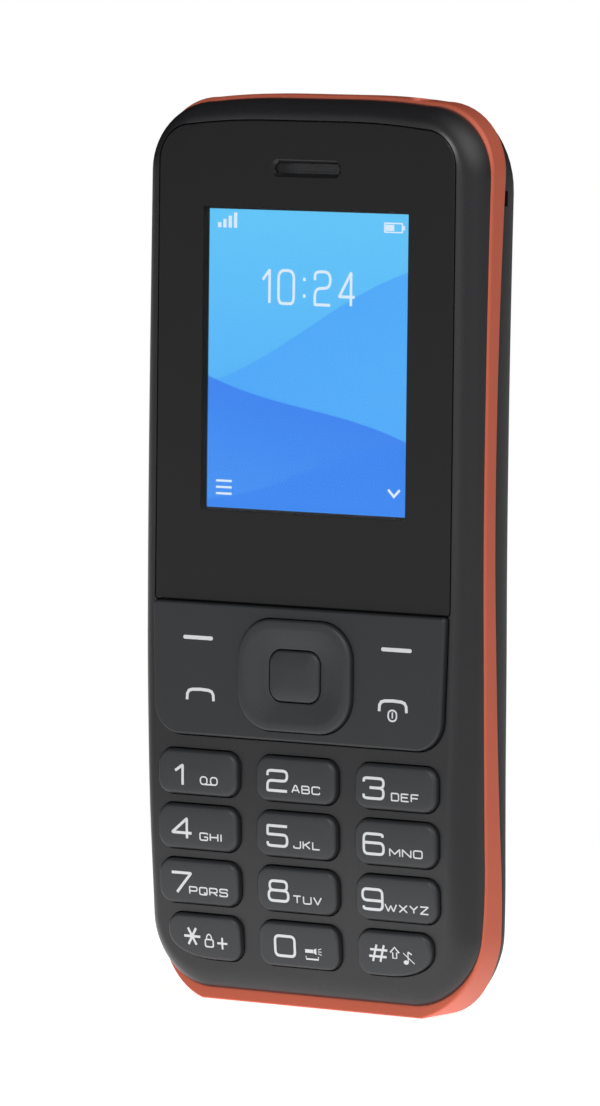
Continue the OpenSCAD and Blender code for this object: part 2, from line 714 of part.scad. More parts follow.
module dpad_ring() {
    profile = [[0, pad_skirt], [0, -nav_proud * 0.55], [0.2, -nav_proud * 0.85], [0.7, -nav_proud],
        [1.4, -nav_proud * 0.92], [2.6, pad_dish - nav_proud]];
    rings = [for (p = [5, 4, 3, 2, 1, 0]) profile[p]];
    placed("#3b3c3f") {
        difference() {
            union() {
                capped_loft(
                    [for (r = rings)
                        pill(pad_w - 2 * r[0], pad_h - 2 * r[0], even(pad_r - r[0] / 2), 0, pad_z)],
                    [for (r = rings) flat_at(r[1])],
                    [0, pad_dish - nav_proud + 0.1, pad_z]
                );
                slab(pad_skirt, pad_skirt + pad_flange_t) polygon(
                    pill(pad_w + 2 * pad_flange, pad_h + 2 * pad_flange - 0.8, even(pad_r), 0, pad_z)
                );
            }
            slab(-2 * past, pad_skirt + past) polygon(
                pill(ok_w + 2 * nav_gap, ok_h + 2 * nav_gap, even(ok_r + nav_gap), 0, pad_z)
            );
            for (s = [-1, 1]) block(0, pad_z + s * (ok_h / 2 + nav_gap + 0.5), nib + 0.4, 1.6,
                pad_skirt, pad_skirt + past);
        }
        for (p = pad_posts()) rod(p.x, p.y, pad_skirt + pad_flange_t, post_end, post_r - 0.1);
    }
}

module dpad_web() {
    placed("#55575a") for (s = [-1, 1])
        block(0, pad_z + s * (ok_h / 2 + nav_gap + 0.5), nib, 0.8,
            pad_skirt + 0.08, pad_skirt + 0.08 + nib_t);
}

module ok_key() {
    edge = 0.5;
    rings = [[edge, -nav_proud], [0.15, 0.2 - nav_proud], [0, edge - nav_proud], [0, ok_flange_d]];
    placed("#38393c") {
        capped_loft(
            [for (r = rings) pill(ok_w - 2 * r[0], ok_h - 2 * r[0], even(max(ok_r - r[0], 0.3)), 0, pad_z)],
            [for (r = rings) flat_at(r[1])],
            [0, 0.15 - nav_proud, pad_z]
        );
        block(0, pad_z, ok_w + 1, ok_h + 0.6, ok_flange_d, ok_flange_d + ok_flange_t);
        rod(0, pad_z, ok_flange_d + ok_flange_t, post_end, post_r);
    }
}

// Number keys

module number_key(col, row) {
    x = key_x(col, row);
    z = key_z(row);
    base = flange_d(row);
    rings = [for (t = [90, 60, 30, 0]) [key_edge * (1 - cos(t)), key_edge * (1 - sin(t)) - key_proud]];
    flange = flange_w + key_gap;
    placed("#3b3c3f") {
        capped_loft(
            concat([for (r = rings) key_outline(col, row, -r[0])], [key_outline(col, row, 0)]),
            concat([for (r = rings) function(h) front(h) + r[1]], [flat_at(base)]),
            [x, front(z) - key_proud - key_crown, z]
        );
        slab(base, base + flange_t) polygon(key_outline(col, row, flange));
        block(x, z, 4, 2.6, base + flange_t, post_end);
    }
}

module keymat() {
    placed("#7d8084") {
        slab(mat_d, mat_d + mat_t) polygon(outline(mat_w / 2, mat_bottom, mat_top, 4, 1, 0));
        for (p = press_points()) rod(p.x, p.y, mat_d + mat_t, mat_d + mat_t + plunger_t, plunger_r);
    }
}

module dome_sheet() {
    placed("#c9c9c4") {
        slab(board_d - sheet_t, board_d) polygon(outline(mat_w / 2, mat_bottom, mat_top, 4, 1, 0));
        for (p = press_points()) translate([p.x, dome_d, p.y]) rotate([-90, 0, 0])
            cylinder(h = dome_t, r1 = dome_r / 2, r2 = dome_r);
    }
}

// Boards and electrical parts

module main_board() {
    inset = wall + board_gap;
    placed("#1f6b45") difference() {
        slab(board_d, board_rear) polygon(shell_outline(inset));
        at_screws() rod(0, 0, board_d - past, board_rear + past, screw_r + 0.2);
    }
}

module shield_can() {
    placed("#b9bcc0") block(card_x, card_z, card_w + 1, card_w + 1, board_rear, part_rear);
}

module sim_sockets() {
    placed("#c4c6ca") for (s = [-1, 1]) difference() {
        block(s * sim_x, sim_z, sim_w, sim_h, board_rear, part_rear);
        block(s * sim_x, sim_z + 1, sim_w - 2, sim_h, board_rear + 0.3, part_rear - 0.2);
        block(s * sim_x, sim_z, sim_w - 6, sim_h - 5, board_rear + 0.3, part_rear + past);
    }
}

module memory_card_socket() {
    placed("#c4c6ca") difference() {
        block(-card_x, card_z, card_w, card_w, board_rear, part_rear);
        block(-card_x, card_z + 1, card_w - 2.6, card_w, board_rear + 0.3, part_rear - 0.2);
    }
}

module battery_connector() {
    mid = connector_z0 + connector_h / 2;
    placed("#1d1d1f") difference() {
        block(0, mid, connector_w, connector_h, board_rear, upper_d - port_gap);
        for (k = [-1:1]) block(contact_pitch * k, connector_z0, contact_w + 0.3, 3, bay_d + 0.7, upper_d - 1);
    }
}

module battery_contacts() {
    tip = battery_top + contact_gap;
    placed("#d6b14a") for (k = [-1:1])
        block(contact_pitch * k, tip + 0.6, contact_w, 1.2, bay_d + 0.9, upper_d - 1.2);
}

module receiver() {
    placed("#9a9ca0") block(0, slot_z, receiver_w, receiver_h, ledge_d + fine, board_d);
}

module loudspeaker() {
    placed("#4a4b4e") {
        rod(-speaker_x, speaker_z, upper_d - speaker_t, upper_d - 0.6, speaker_r);
        rod(-speaker_x, speaker_z, upper_d - 0.6, upper_d, speaker_r - 0.6);
    }
}

module microphone() {
    placed("#b9bcc0") rod(0, mouth_z + 2.2, board_rear, board_rear + 1.4, 2);
}

module vibration_motor() {
    x1 = motor_x + motor_len;
    placed("#a9adb2") {
        crossways(motor_x, x1, motor_d, motor_z, motor_r);
        crossways(x1, x1 + weight_gap + weight_len, motor_d, motor_z, shaft_r);
    }
}

module vibration_weight() {
    x0 = motor_x + motor_len + weight_gap;
    placed("#8c8f94") difference() {
        crossways(x0, x0 + weight_len, motor_d, motor_z, motor_r);
        block(x0 + weight_len / 2, motor_z + motor_r + 0.7, weight_len + past, 2 * motor_r, 0, body_t);
        crossways(x0 - past, x0 + weight_len + past, motor_d, motor_z, shaft_r + fine);
    }
}

module micro_usb_socket() {
    mid = mouth_z + usb_len / 2;
    w = usb_w + 2 * usb_wall;
    placed("#c4c6ca") difference() {
        block(-usb_x, mid, w, usb_len, board_rear, usb_d + usb_h / 2 + usb_wall);
        translate([-usb_x, usb_d, mouth_z - past]) linear_extrude(usb_len) stadium(usb_w, usb_h);
    }
    placed("#2a2a2c") block(-usb_x, mid + 0.3, 3.6, usb_len - 0.6, usb_d - 0.3, usb_d + 0.3);
}

module headphone_jack() {
    placed("#1d1d1f") difference() {
        block(jack_x, mouth_z + jack_len / 2, jack_body + 1, jack_len, board_rear, jack_d + jack_body / 2);
        upright(jack_x, jack_d, mouth_z - past, mouth_z + jack_len - 1, jack_r);
    }
}

module antenna() {
    placed("#b5793a") block(0, antenna_z, antenna_w, antenna_h, chassis_back - antenna_t, chassis_back);
}

module battery() {
    placed("#c9ccd0") block(0, battery_z, battery_w, battery_h, bay_d + fine, bay_d + fine + battery_t);
}

module housing_screws() {
    seat = head_seat();
    placed("#8f9296") at_screws() difference() {
        union() {
            rod(0, 0, seat - screw_len, seat, screw_r);
            rod(0, 0, seat, seat + head_t, screw_head_r);
        }
        for (a = [0, 90]) rotate([0, a, 0]) block(0, 0, 1.4, 0.35, seat + head_t / 2, seat + past + head_t);
    }
}

module torch_led() {
    placed("#f2ead2") block(torch_x, torch_foot - 1.65, 3, 3, board_rear, torch_d + torch_r);
}

module torch_lens() {
    placed("#e9edf0") upright(torch_x, torch_d, torch_foot, body_h - top_arch - 0.75, torch_r);
}

front_housing();
display_lens();
lens_adhesive();
earpiece_mesh();
mid_band();
rear_housing();
battery_cover();
function_plate();
function_plate_web();
dpad_ring();
dpad_web();
ok_key();
for (k = KEYS) number_key(k[1], k[2]);
keymat();
dome_sheet();
lcd_panel();
lcd_backlight();
lcd_flex();
main_board();
shield_can();
receiver();
loudspeaker();
microphone();
vibration_motor();
vibration_weight();
sim_sockets();
memory_card_socket();
battery_connector();
battery_contacts();
micro_usb_socket();
headphone_jack();
antenna();
battery();
housing_screws();
torch_led();
torch_lens();
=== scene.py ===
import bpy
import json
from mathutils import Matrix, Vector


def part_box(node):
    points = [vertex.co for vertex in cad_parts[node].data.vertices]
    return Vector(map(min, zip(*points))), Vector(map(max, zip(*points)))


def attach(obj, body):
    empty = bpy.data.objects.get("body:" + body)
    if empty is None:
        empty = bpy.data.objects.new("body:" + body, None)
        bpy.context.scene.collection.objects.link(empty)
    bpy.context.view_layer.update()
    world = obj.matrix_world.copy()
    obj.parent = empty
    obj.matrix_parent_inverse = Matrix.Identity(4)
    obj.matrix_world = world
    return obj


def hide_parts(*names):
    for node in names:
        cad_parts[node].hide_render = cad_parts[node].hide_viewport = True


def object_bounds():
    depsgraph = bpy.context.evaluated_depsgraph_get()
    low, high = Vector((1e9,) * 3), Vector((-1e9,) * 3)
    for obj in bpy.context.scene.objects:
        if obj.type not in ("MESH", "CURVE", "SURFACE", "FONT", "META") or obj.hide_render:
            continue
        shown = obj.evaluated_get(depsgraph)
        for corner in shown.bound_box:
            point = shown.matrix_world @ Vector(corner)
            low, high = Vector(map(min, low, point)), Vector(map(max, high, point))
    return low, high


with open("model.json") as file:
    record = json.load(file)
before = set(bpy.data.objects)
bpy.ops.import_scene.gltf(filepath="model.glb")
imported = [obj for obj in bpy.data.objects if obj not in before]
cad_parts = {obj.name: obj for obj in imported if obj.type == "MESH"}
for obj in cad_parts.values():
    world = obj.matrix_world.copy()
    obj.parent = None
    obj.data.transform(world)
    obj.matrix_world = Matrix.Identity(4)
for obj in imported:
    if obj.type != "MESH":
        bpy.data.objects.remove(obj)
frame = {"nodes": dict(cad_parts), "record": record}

"""Bar phone with a number pad: visible pieces, finishes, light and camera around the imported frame."""

import json
import logging
import math
from contextlib import contextmanager
from dataclasses import dataclass, field
from enum import Enum
from functools import cache
from typing import Callable, Iterator, Optional, Sequence

import bmesh
import bpy
from mathutils import Matrix, Vector

CAD_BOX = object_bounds()
LOG = logging.getLogger("phone")

# Metres in a millimetre, and metres within which vertices are one
MM = 0.001
MERGE = 1e-7
# Least part of a face's normal along Y for a face that lies in the front or the back
FACING = 0.9
# Millimetres: a round end stays this short of a half circle, two rings in one plane are parted by this, and
# a cutter runs this far past a surface
HAIR = 0.001
STEP = 0.01
OVER = 1.0
# Degrees from which an edge is sharp: in general, on the keys, on the gloss panel and on printed signs
SHARP = 32.0
KEY_SHARP = 40.0
PANEL_SHARP = 25.0
SIGN_SHARP = 20.0
WHITE = (1.0, 1.0, 1.0, 1.0)
X_AXIS, Z_AXIS = Vector((1, 0, 0)), Vector((0, 0, 1))
# Turn that sets a form from the XY plane upright
UPRIGHT = Matrix.Rotation(math.pi / 2, 3, "X")

Colour = tuple[float, float, float]
Point = tuple[float, float]
Profile = Sequence[Point]
Ring = list[Vector]
Depth = Callable[[float], float]
Outline = Callable[[float], list[Point]]
Mesh = bmesh.types.BMesh
Vertices = list[bmesh.types.BMVert]
Piece = bpy.types.Object
Socket = bpy.types.NodeSocket


# Finishes


def linear(colour: Colour) -> tuple[float, float, float, float]:
    """Turn a display colour into a linear one.

    Args:
        colour: Red, green and blue from 0 to 255.

    Returns:
        Linear red, green and blue, and an alpha of 1.
    """
    def channel(value: float) -> float:
        """Linear value of one channel, by the standard display curve."""
        v = value / 255
        return v / 12.92 if v <= 0.04045 else ((v + 0.055) / 1.055) ** 2.4
    red, green, blue = map(channel, colour)
    return red, green, blue, 1.0


class Tree:
    """Adds and joins nodes in one node tree."""

    def __init__(self, data: bpy.types.NodeTree) -> None:
        """Keep the tree that nodes are added to."""
        self.data = data

    def add(self, kind: str, inputs: Optional[dict] = None, **settings: object) -> bpy.types.Node:
        """Add a node.

        Args:
            kind: Node type name.
            inputs: Socket name or index to a value or an output socket.
            settings: Attributes of the node.

        Returns:
            The new node.
        """
        node = self.data.nodes.new(kind)
        for name, value in settings.items():
            setattr(node, name, value)
        self.feed(node, inputs or {})
        return node

    def feed(self, node: bpy.types.Node, inputs: dict) -> None:
        """Link outputs to a node's sockets, or set their plain values.

        Args:
            node: Node that is fed.
            inputs: Socket name or index to a value or an output socket.
        """
        for key, value in inputs.items():
            if isinstance(value, Socket):
                self.data.links.new(value, node.inputs[key])
            else:
                node.inputs[key].default_value = value

    def where(self, space: str = "Object") -> Socket:
        """Place of the shaded point."""
        return self.add("ShaderNodeTexCoord").outputs[space]

    def camera_ray(self) -> Socket:
        """Mask of what the camera sees directly."""
        return self.add("ShaderNodeLightPath").outputs["Is Camera Ray"]

    def math(self, operation: str, *values: object) -> Socket:
        """Output of a Math node with these values."""
        return self.add("ShaderNodeMath", dict(enumerate(values)), operation=operation).outputs[0]

    def vector(self, operation: str, *values: object) -> Socket:
        """Value output of a Vector Math node with these vectors."""
        node = self.add("ShaderNodeVectorMath", dict(enumerate(values)), operation=operation)
        return node.outputs["Value"]

    def mix(self, factor: object, first: object, second: object) -> Socket:
        """Output of a colour mix from first to second."""
        return self.add("ShaderNodeMix", {0: factor, 6: first, 7: second}, data_type="RGBA").outputs[2]

    def ramp(self, value: object, low: float, high: float, to_low: object = 0, to_high: object = 1,
             smooth: bool = False) -> Socket:
        """Add a clamped map from one range to another.

        Args:
            value: Value that is mapped.
            low: Start of its range.
            high: End of its range.
            to_low: What the start becomes.
            to_high: What the end becomes.
            smooth: Whether the ends are eased.

        Returns:
            The output socket.
        """
        limits = dict(enumerate((value, low, high, to_low, to_high)))
        kind = "SMOOTHSTEP" if smooth else "LINEAR"
        return self.add("ShaderNodeMapRange", limits, interpolation_type=kind).outputs[0]

    def noise(self, vector: object, scale: float, detail: float = 2) -> Socket:
        """Value output of a noise texture."""
        inputs = {"Vector": vector, "Scale": scale, "Detail": detail}
        return self.add("ShaderNodeTexNoise", inputs).outputs[0]


class Effect:
    """Node group that gives Colour, Roughness and Height to more than one material."""

    def __init__(self, name: str, *values: str) -> None:
        """Make the group and its sockets.

        Args:
            name: Name of the group.
            values: Inputs beside Colour and Roughness.
        """
        group = bpy.data.node_groups.new(name, "ShaderNodeTree")
        takes, gives = ("Colour", "Roughness", *values), ("Colour", "Roughness", "Height")
        for way, sockets in (("INPUT", takes), ("OUTPUT", gives)):
            for socket in sockets:
                kind = "NodeSocketColor" if socket == "Colour" else "NodeSocketFloat"
                group.interface.new_socket(socket, in_out=way, socket_type=kind)
        self.tree = Tree(group)
        self.given = self.tree.add("NodeGroupInput").outputs
        self.end = self.tree.add("NodeGroupOutput")

    def close(self, gain: Socket, rough: Socket, height: Socket) -> bpy.types.NodeTree:
        """Feed the outputs.

        Args:
            gain: Factor on the colour.
            rough: Added to the roughness.
            height: Height of the relief.

        Returns:
            The finished group.
        """
        scale = {0: self.given["Colour"], "Scale": gain}
        self.tree.feed(self.end, {
            "Colour": self.tree.add("ShaderNodeVectorMath", scale, operation="SCALE").outputs[0],
            "Roughness": self.tree.math("ADD", self.given["Roughness"], rough),
            "Height": height,
        })
        return self.tree.data


@cache
def moulded_grain() -> bpy.types.NodeTree:
    """Fine spark-eroded grain with faint cloudy marks.

    Returns:
        Group with Grain and Marks as inputs.
    """
    effect = Effect("moulded_grain", "Grain", "Marks")
    tree, given = effect.tree, effect.given
    where = tree.where()
    fine = tree.noise(where, 5200, 3)
    speck = tree.ramp(tree.noise(where, 11000, 1), 0.35, 0.75)
    cloud = tree.ramp(tree.noise(where, 70, 4), 0.3, 0.7)
    bright = tree.math("MULTIPLY", tree.math("SUBTRACT", speck, 0.45), given["Grain"])
    lift = tree.math("MULTIPLY", tree.math("SUBTRACT", cloud, 0.5), given["Marks"])
    gain = tree.math("ADD", 1.0, tree.math("ADD", bright, lift))
    relief = tree.math("ADD", fine, tree.math("MULTIPLY", speck, 0.6))
    height = tree.math("MULTIPLY", relief, given["Grain"])
    return effect.close(gain, tree.math("MULTIPLY", lift, -0.25), height)


@cache
def drawn_lines() -> bpy.types.NodeTree:
    """Long fine lines of rolled or drawn metal, running along X.

    Returns:
        Group with Lines as an input.
    """
    effect = Effect("drawn_lines", "Lines")
    tree, given = effect.tree, effect.given
    where = tree.where()
    stretched = tree.add("ShaderNodeMapping", {"Vector": where, "Scale": (0.06, 1.0, 1.0)}).outputs[0]
    lines = tree.noise(stretched, 6000, 3)
    stain = tree.ramp(tree.noise(where, 160, 3), 0.35, 0.7)
    spread = tree.math("MULTIPLY", tree.math("SUBTRACT", lines, 0.5), given["Lines"])
    gain = tree.math("ADD", tree.math("ADD", 0.94, spread), tree.math("MULTIPLY", stain, 0.1))
    height = tree.math("MULTIPLY", lines, given["Lines"])
    return effect.close(gain, tree.math("MULTIPLY", spread, 0.3), height)


@dataclass(frozen=True)
class Surface:
    """A finish, which is one material."""

    name: str

    def material(self) -> bpy.types.Material:
        """Find the material, or make it on first use.

        Returns:
            The material with its nodes.
        """
        made = bpy.data.materials.get(self.name)
        if made is None:
            made = bpy.data.materials.new(self.name)
            made.use_nodes = True
            self.paint(Tree(made.node_tree), made.node_tree.nodes["Principled BSDF"])
        return made

    def paint(self, tree: Tree, shader: bpy.types.Node) -> None:
        """Add the finish's nodes and feed the shader."""
        raise NotImplementedError


class Family(Enum):
    """Kind of surface that an opaque finish has."""

    MOULDED = "moulded"
    METAL = "metal"


@dataclass(frozen=True)
class Finish(Surface):
    """An opaque finish with grain or drawn lines."""

    colour: Colour
    rough: float = 0.45
    grain: float = 0.3
    marks: float = 0.12
    depth: float = 0.012
    ior: float = 1.46
    family: Family = Family.MOULDED

    def paint(self, tree: Tree, shader: bpy.types.Node) -> None:
        """Add the shared effect with this finish's values.

        Args:
            tree: Tree of the material.
            shader: Its shader node.
        """
        metal = self.family is Family.METAL
        group = tree.add("ShaderNodeGroup", node_tree=drawn_lines() if metal else moulded_grain())
        tree.feed(group, {"Colour": linear(self.colour), "Roughness": self.rough})
        tree.feed(group, {"Lines": self.grain} if metal else {"Grain": self.grain, "Marks": self.marks})
        relief = {"Strength": 0.5, "Distance": self.depth * MM, "Height": group.outputs["Height"]}
        tree.feed(shader, {
            "Base Color": group.outputs["Colour"], "Roughness": group.outputs["Roughness"],
            "Normal": tree.add("ShaderNodeBump", relief).outputs[0],
            "IOR": self.ior, "Metallic": float(metal),
        })


@dataclass(frozen=True)
class ClearFinish(Surface):
    """Clear plastic or glass with a faint haze."""

    colour: Colour = (250, 252, 255)
    ior: float = 1.46
    rough: float = 0.0
    haze: float = 0.02

    def paint(self, tree: Tree, shader: bpy.types.Node) -> None:
        """Add the haze and make the shader clear."""
        cloud = tree.ramp(tree.noise(tree.where(), 400, 3), 0.3, 0.8, self.rough, self.rough + self.haze)
        tree.feed(shader, {
            "Base Color": linear(self.colour), "Roughness": cloud,
            "IOR": self.ior, "Transmission Weight": 1.0,
        })


@dataclass(frozen=True)
class Slope:
    """One slope of the lit picture: height, lean, and the swing and pitch of its edge, in metres."""

    level: float
    lean: float
    swing: float
    pitch: float
    tint: Colour


@dataclass(frozen=True)
class PictureFinish(Surface):
    """Lit picture: plain blue slopes that fall across one another."""

    name: str = "lit_picture"
    unlit: Colour = (8, 10, 14)
    top: Colour = (98, 204, 255)
    middle: Colour = (74, 172, 255)
    sky: Point = (0.058, 0.0935)
    slopes: tuple[Slope, ...] = (
        Slope(0.0800, 0.42, 0.0012, 150.0, (74, 172, 255)),
        Slope(0.0705, -0.35, 0.0015, 120.0, (50, 130, 244)),
        Slope(0.0632, 0.22, 0.0010, 170.0, (48, 136, 246)),
    )
    edge: float = 0.00008
    fade: float = 0.014
    cover: Point = (0.92, 0.6)
    strength: float = 0.95

    def paint(self, tree: Tree, shader: bpy.types.Node) -> None:
        """Add the slopes and light them.

        Args:
            tree: Tree of the material.
            shader: Its shader node.
        """
        where = tree.add("ShaderNodeSeparateXYZ", {0: tree.where()})
        x, z = where.outputs["X"], where.outputs["Z"]
        colour = tree.mix(tree.ramp(z, *self.sky), linear(self.middle), linear(self.top))
        for slope in self.slopes:
            turn = tree.math("MULTIPLY", x, slope.pitch)
            wave = tree.math("MULTIPLY", tree.math("SINE", turn), slope.swing)
            edge = tree.math("ADD", tree.math("MULTIPLY_ADD", x, slope.lean, slope.level), wave)
            under = tree.math("SUBTRACT", edge, z)
            inside = tree.ramp(under, 0, self.edge)
            fade = tree.ramp(under, 0, self.fade, *self.cover)
            colour = tree.mix(tree.math("MULTIPLY", inside, fade), colour, linear(slope.tint))
        tree.feed(shader, {
            "Base Color": linear(self.unlit), "Roughness": 0.5, "IOR": 1.08, "Emission Color": colour,
            "Emission Strength": self.strength,
        })


@dataclass(frozen=True)
class GlowFinish(Surface):
    """Lit signs on the picture."""

    name: str = "lit_signs"
    unlit: Colour = (20, 24, 30)
    warm: Colour = (236, 246, 255)
    cool: Colour = (214, 236, 255)
    strength: float = 0.95

    def paint(self, tree: Tree, shader: bpy.types.Node) -> None:
        """Add fine dots of two tints and light them."""
        dots = tree.ramp(tree.noise(tree.where(), 9000, 1), 0.3, 0.7)
        tree.feed(shader, {
            "Base Color": linear(self.unlit), "Emission Strength": self.strength,
            "Emission Color": tree.mix(dots, linear(self.warm), linear(self.cool)),
        })


@dataclass(frozen=True)
class BoardFinish(Surface):
    """Green circuit board with copper runs under the mask."""

    name: str = "board_green"
    mask: Colour = (22, 92, 58)
    run: Colour = (46, 128, 78)
    depth: float = 0.03

    def paint(self, tree: Tree, shader: bpy.types.Node) -> None:
        """Add the runs as a broken grid.

        Args:
            tree: Tree of the material.
            shader: Its shader node.
        """
        where = tree.where()
        upright = {"Vector": where, "Rotation": (math.pi / 2, 0, 0)}
        turned = tree.add("ShaderNodeMapping", upright).outputs[0]
        cells = tree.add("ShaderNodeTexBrick", {
            "Vector": turned, "Scale": 260.0, "Mortar Size": 0.06, "Mortar": WHITE,
            "Color1": (0, 0, 0, 1), "Color2": (0.2, 0.2, 0.2, 1),
        })
        parts = tree.ramp(tree.noise(where, 240, 1), 0.45, 0.55)
        runs = tree.math("MULTIPLY", cells.outputs["Color"], parts)
        relief = {"Strength": 0.4, "Distance": self.depth * MM, "Height": runs}
        tree.feed(shader, {
            "Base Color": tree.mix(runs, linear(self.mask), linear(self.run)),
            "Roughness": tree.ramp(runs, 0, 1, 0.42, 0.3),
            "Normal": tree.add("ShaderNodeBump", relief).outputs[0],
        })


@dataclass(frozen=True)
class FloorFinish(Surface):
    """Pale floor that glows beside the phone and turns white farther out; sizes in metres."""

    name: str = "floor_pale"
    tones: Point = (0.86, 0.9)
    seen: float = 0.8
    near: float = 0.95
    far: float = 0.14
    pool: tuple[float, float, float] = (-0.022, -0.04, 0.0)
    pool_edge: Point = (0.03, 0.12)
    white_edge: Point = (0.04, 0.2)

    def paint(self, tree: Tree, shader: bpy.types.Node) -> None:
        """Add the glow and the change to white.

        Args:
            tree: Tree of the material.
            shader: Its shader node.
        """
        where, path = tree.where(), tree.camera_ray()
        darker, paler = ((tone, tone, tone, 1.0) for tone in self.tones)
        cloud = tree.ramp(tree.noise(where, 3, 2), 0.3, 0.7)
        glow = tree.ramp(
            tree.vector("DISTANCE", where, self.pool), *self.pool_edge, self.near, self.far, smooth=True)
        tree.feed(shader, {
            "Base Color": tree.mix(cloud, darker, paler), "Roughness": 0.9, "Emission Color": WHITE,
            "Emission Strength": tree.ramp(path, 0, 1, glow, self.seen),
        })
        white = tree.add("ShaderNodeEmission", {"Color": WHITE, "Strength": 1.0})
        away = tree.ramp(tree.vector("LENGTH", where), *self.white_edge, smooth=True)
        share = tree.math("MULTIPLY", path, away)
        both = tree.add("ShaderNodeMixShader", {0: share, 1: shader.outputs[0], 2: white.outputs[0]})
        tree.feed(tree.data.nodes["Material Output"], {"Surface": both.outputs[0]})


SHELL = Finish("shell_black_satin", (38, 38, 40), 0.28, 0.4, 0.10, 0.02)
PANEL = Finish("panel_black_gloss", (31, 31, 32), 0.12, 0.05, 0.05, 0.002, 1.34)
COVER = Finish("cover_black_satin", (36, 36, 38), 0.46, 0.4, 0.12, 0.018)
BAND = Finish("band_coral", (252, 104, 73), 0.36, 0.10, 0.05, 0.006, 1.42)
KEYS = Finish("keys_grey_satin", (48, 49, 51), 0.36, 0.28, 0.08, 0.012)
PLATE = Finish("plate_grey_satin", (41, 42, 44), 0.38, 0.25, 0.08, 0.010)
LEGEND = Finish("legend_silver", (214, 216, 218), 0.5, 0.06, 0.03, 0.002)
GLASS_EDGE = Finish("display_black_frame", (31, 31, 32), 0.6, 0.05, 0.05, 0.002, 1.08)
MESH = Finish("mesh_dark", (28, 29, 31), 0.6, 0.5, 0.1, 0.01)
WINDOW = ClearFinish("panel_window", ior=1.34)
BATTERY_WRAP = Finish("battery_wrap", (196, 198, 202), 0.36, 0.08, 0.08, 0.004)
BATTERY_CAP = Finish("battery_cap", (34, 35, 38), 0.5, 0.3, 0.1, 0.01)
GOLD = Finish("contact_gold", (222, 178, 84), 0.28, 0.12, 0.0, 0.003, family=Family.METAL)

SLOT_FINISHES: dict[str, Surface] = {
    "shell_black": SHELL, "panel_black": PANEL, "mesh": MESH, "band_coral": BAND, "keys_grey": KEYS,
    "display": GLASS_EDGE, "battery": BATTERY_WRAP, "contact": GOLD, "board": BoardFinish(),
    "torch": ClearFinish("torch_clear", (246, 248, 250), 1.46, 0.08),
    "chassis": Finish("chassis_black", (44, 45, 47), 0.5, 0.45, 0.14, 0.02),
    "can": Finish("tinned_steel", (196, 198, 202), 0.3, 0.14, 0.0, 0.004, family=Family.METAL),
    "adhesive": Finish("adhesive_black", (58, 58, 60), 0.6, 0.3, 0.1),
    "silicone": Finish("silicone_grey", (126, 129, 133), 0.55, 0.2, 0.1, 0.01, 1.41),
    "domes": Finish("dome_film", (204, 204, 198), 0.34, 0.1, 0.06, 0.004),
    "backlight": Finish("backlight_white", (232, 232, 228), 0.4, 0.05, 0.05, 0.003),
    "flex": Finish("flex_amber", (190, 122, 36), 0.35, 0.1, 0.2, 0.004),
    "speaker": Finish("speaker_black", (70, 71, 74), 0.5, 0.4, 0.1, 0.02),
    "motor": Finish("motor_steel", (172, 176, 181), 0.28, 0.2, 0.0, 0.004, family=Family.METAL),
    "weight": Finish("weight_sintered", (142, 145, 150), 0.42, 0.3, 0.0, 0.01, family=Family.METAL),
    "connector": Finish("connector_black", (30, 30, 32), 0.5, 0.3, 0.1, 0.01),
    "antenna": Finish("antenna_copper", (196, 128, 76), 0.34, 0.2, 0.0, 0.004, family=Family.METAL),
    "screw": Finish("screw_zinc", (150, 153, 158), 0.32, 0.2, 0.0, 0.004, family=Family.METAL),
    "led": Finish("led_cream", (244, 234, 196), 0.4, 0.05, 0.06, 0.004),
}


# Mesh tools


def show(thing: bpy.types.Object) -> None:
    """Link an object into the scene."""
    bpy.context.scene.collection.objects.link(thing)


def new_piece(name: str, bm: Mesh, *finishes: Surface) -> Piece:
    """Close a bmesh into a piece at the origin.

    Args:
        name: Name of the piece.
        bm: Mesh in metres, freed here.
        finishes: Finishes of its material slots, in order.

    Returns:
        The linked object.
    """
    mesh = bpy.data.meshes.new(name)
    bm.to_mesh(mesh)
    bm.free()
    piece = bpy.data.objects.new(name, mesh)
    show(piece)
    for finish in finishes:
        mesh.materials.append(finish.material())
    return piece


@contextmanager
def editing(piece: Piece) -> Iterator[Mesh]:
    """Open a piece's mesh as a bmesh and write it back.

    Args:
        piece: Piece that is changed.

    Returns:
        The open bmesh.
    """
    bm = bmesh.new()
    bm.from_mesh(piece.data)
    yield bm
    bm.to_mesh(piece.data)
    bm.free()


def smooth_by_angle(bm: Mesh, limit: float = SHARP) -> None:
    """Shade smooth, with sharp edges between faces that turn sharply.

    Args:
        bm: Mesh that is shaded.
        limit: Degrees from which an edge is sharp.
    """
    for face in bm.faces:
        face.smooth = True
    for edge in bm.edges:
        edge.smooth = len(edge.link_faces) == 2 and edge.calc_face_angle(0.0) < math.radians(limit)


def finish_mesh(bm: Mesh, limit: float = SHARP) -> None:
    """Merge doubles and set the shading."""
    bmesh.ops.remove_doubles(bm, verts=bm.verts, dist=MERGE)
    smooth_by_angle(bm, limit)


def ring_edges(bm: Mesh, verts: Vertices, closed: bool = True) -> list[bmesh.types.BMEdge]:
    """Edges that join these vertices in order."""
    ends = verts[1:] + verts[:1] if closed else verts[1:]
    return [bm.edges.get(pair) for pair in zip(verts, ends)]


def add_ring(bm: Mesh, points: Sequence[Vector]) -> Vertices:
    """Add a closed ring of vertices and edges.

    Args:
        bm: Mesh that gets the ring.
        points: Places of the vertices.

    Returns:
        The new vertices.
    """
    verts = [bm.verts.new(p) for p in points]
    for pair in zip(verts, verts[1:] + verts[:1]):
        bm.edges.new(pair)
    return verts


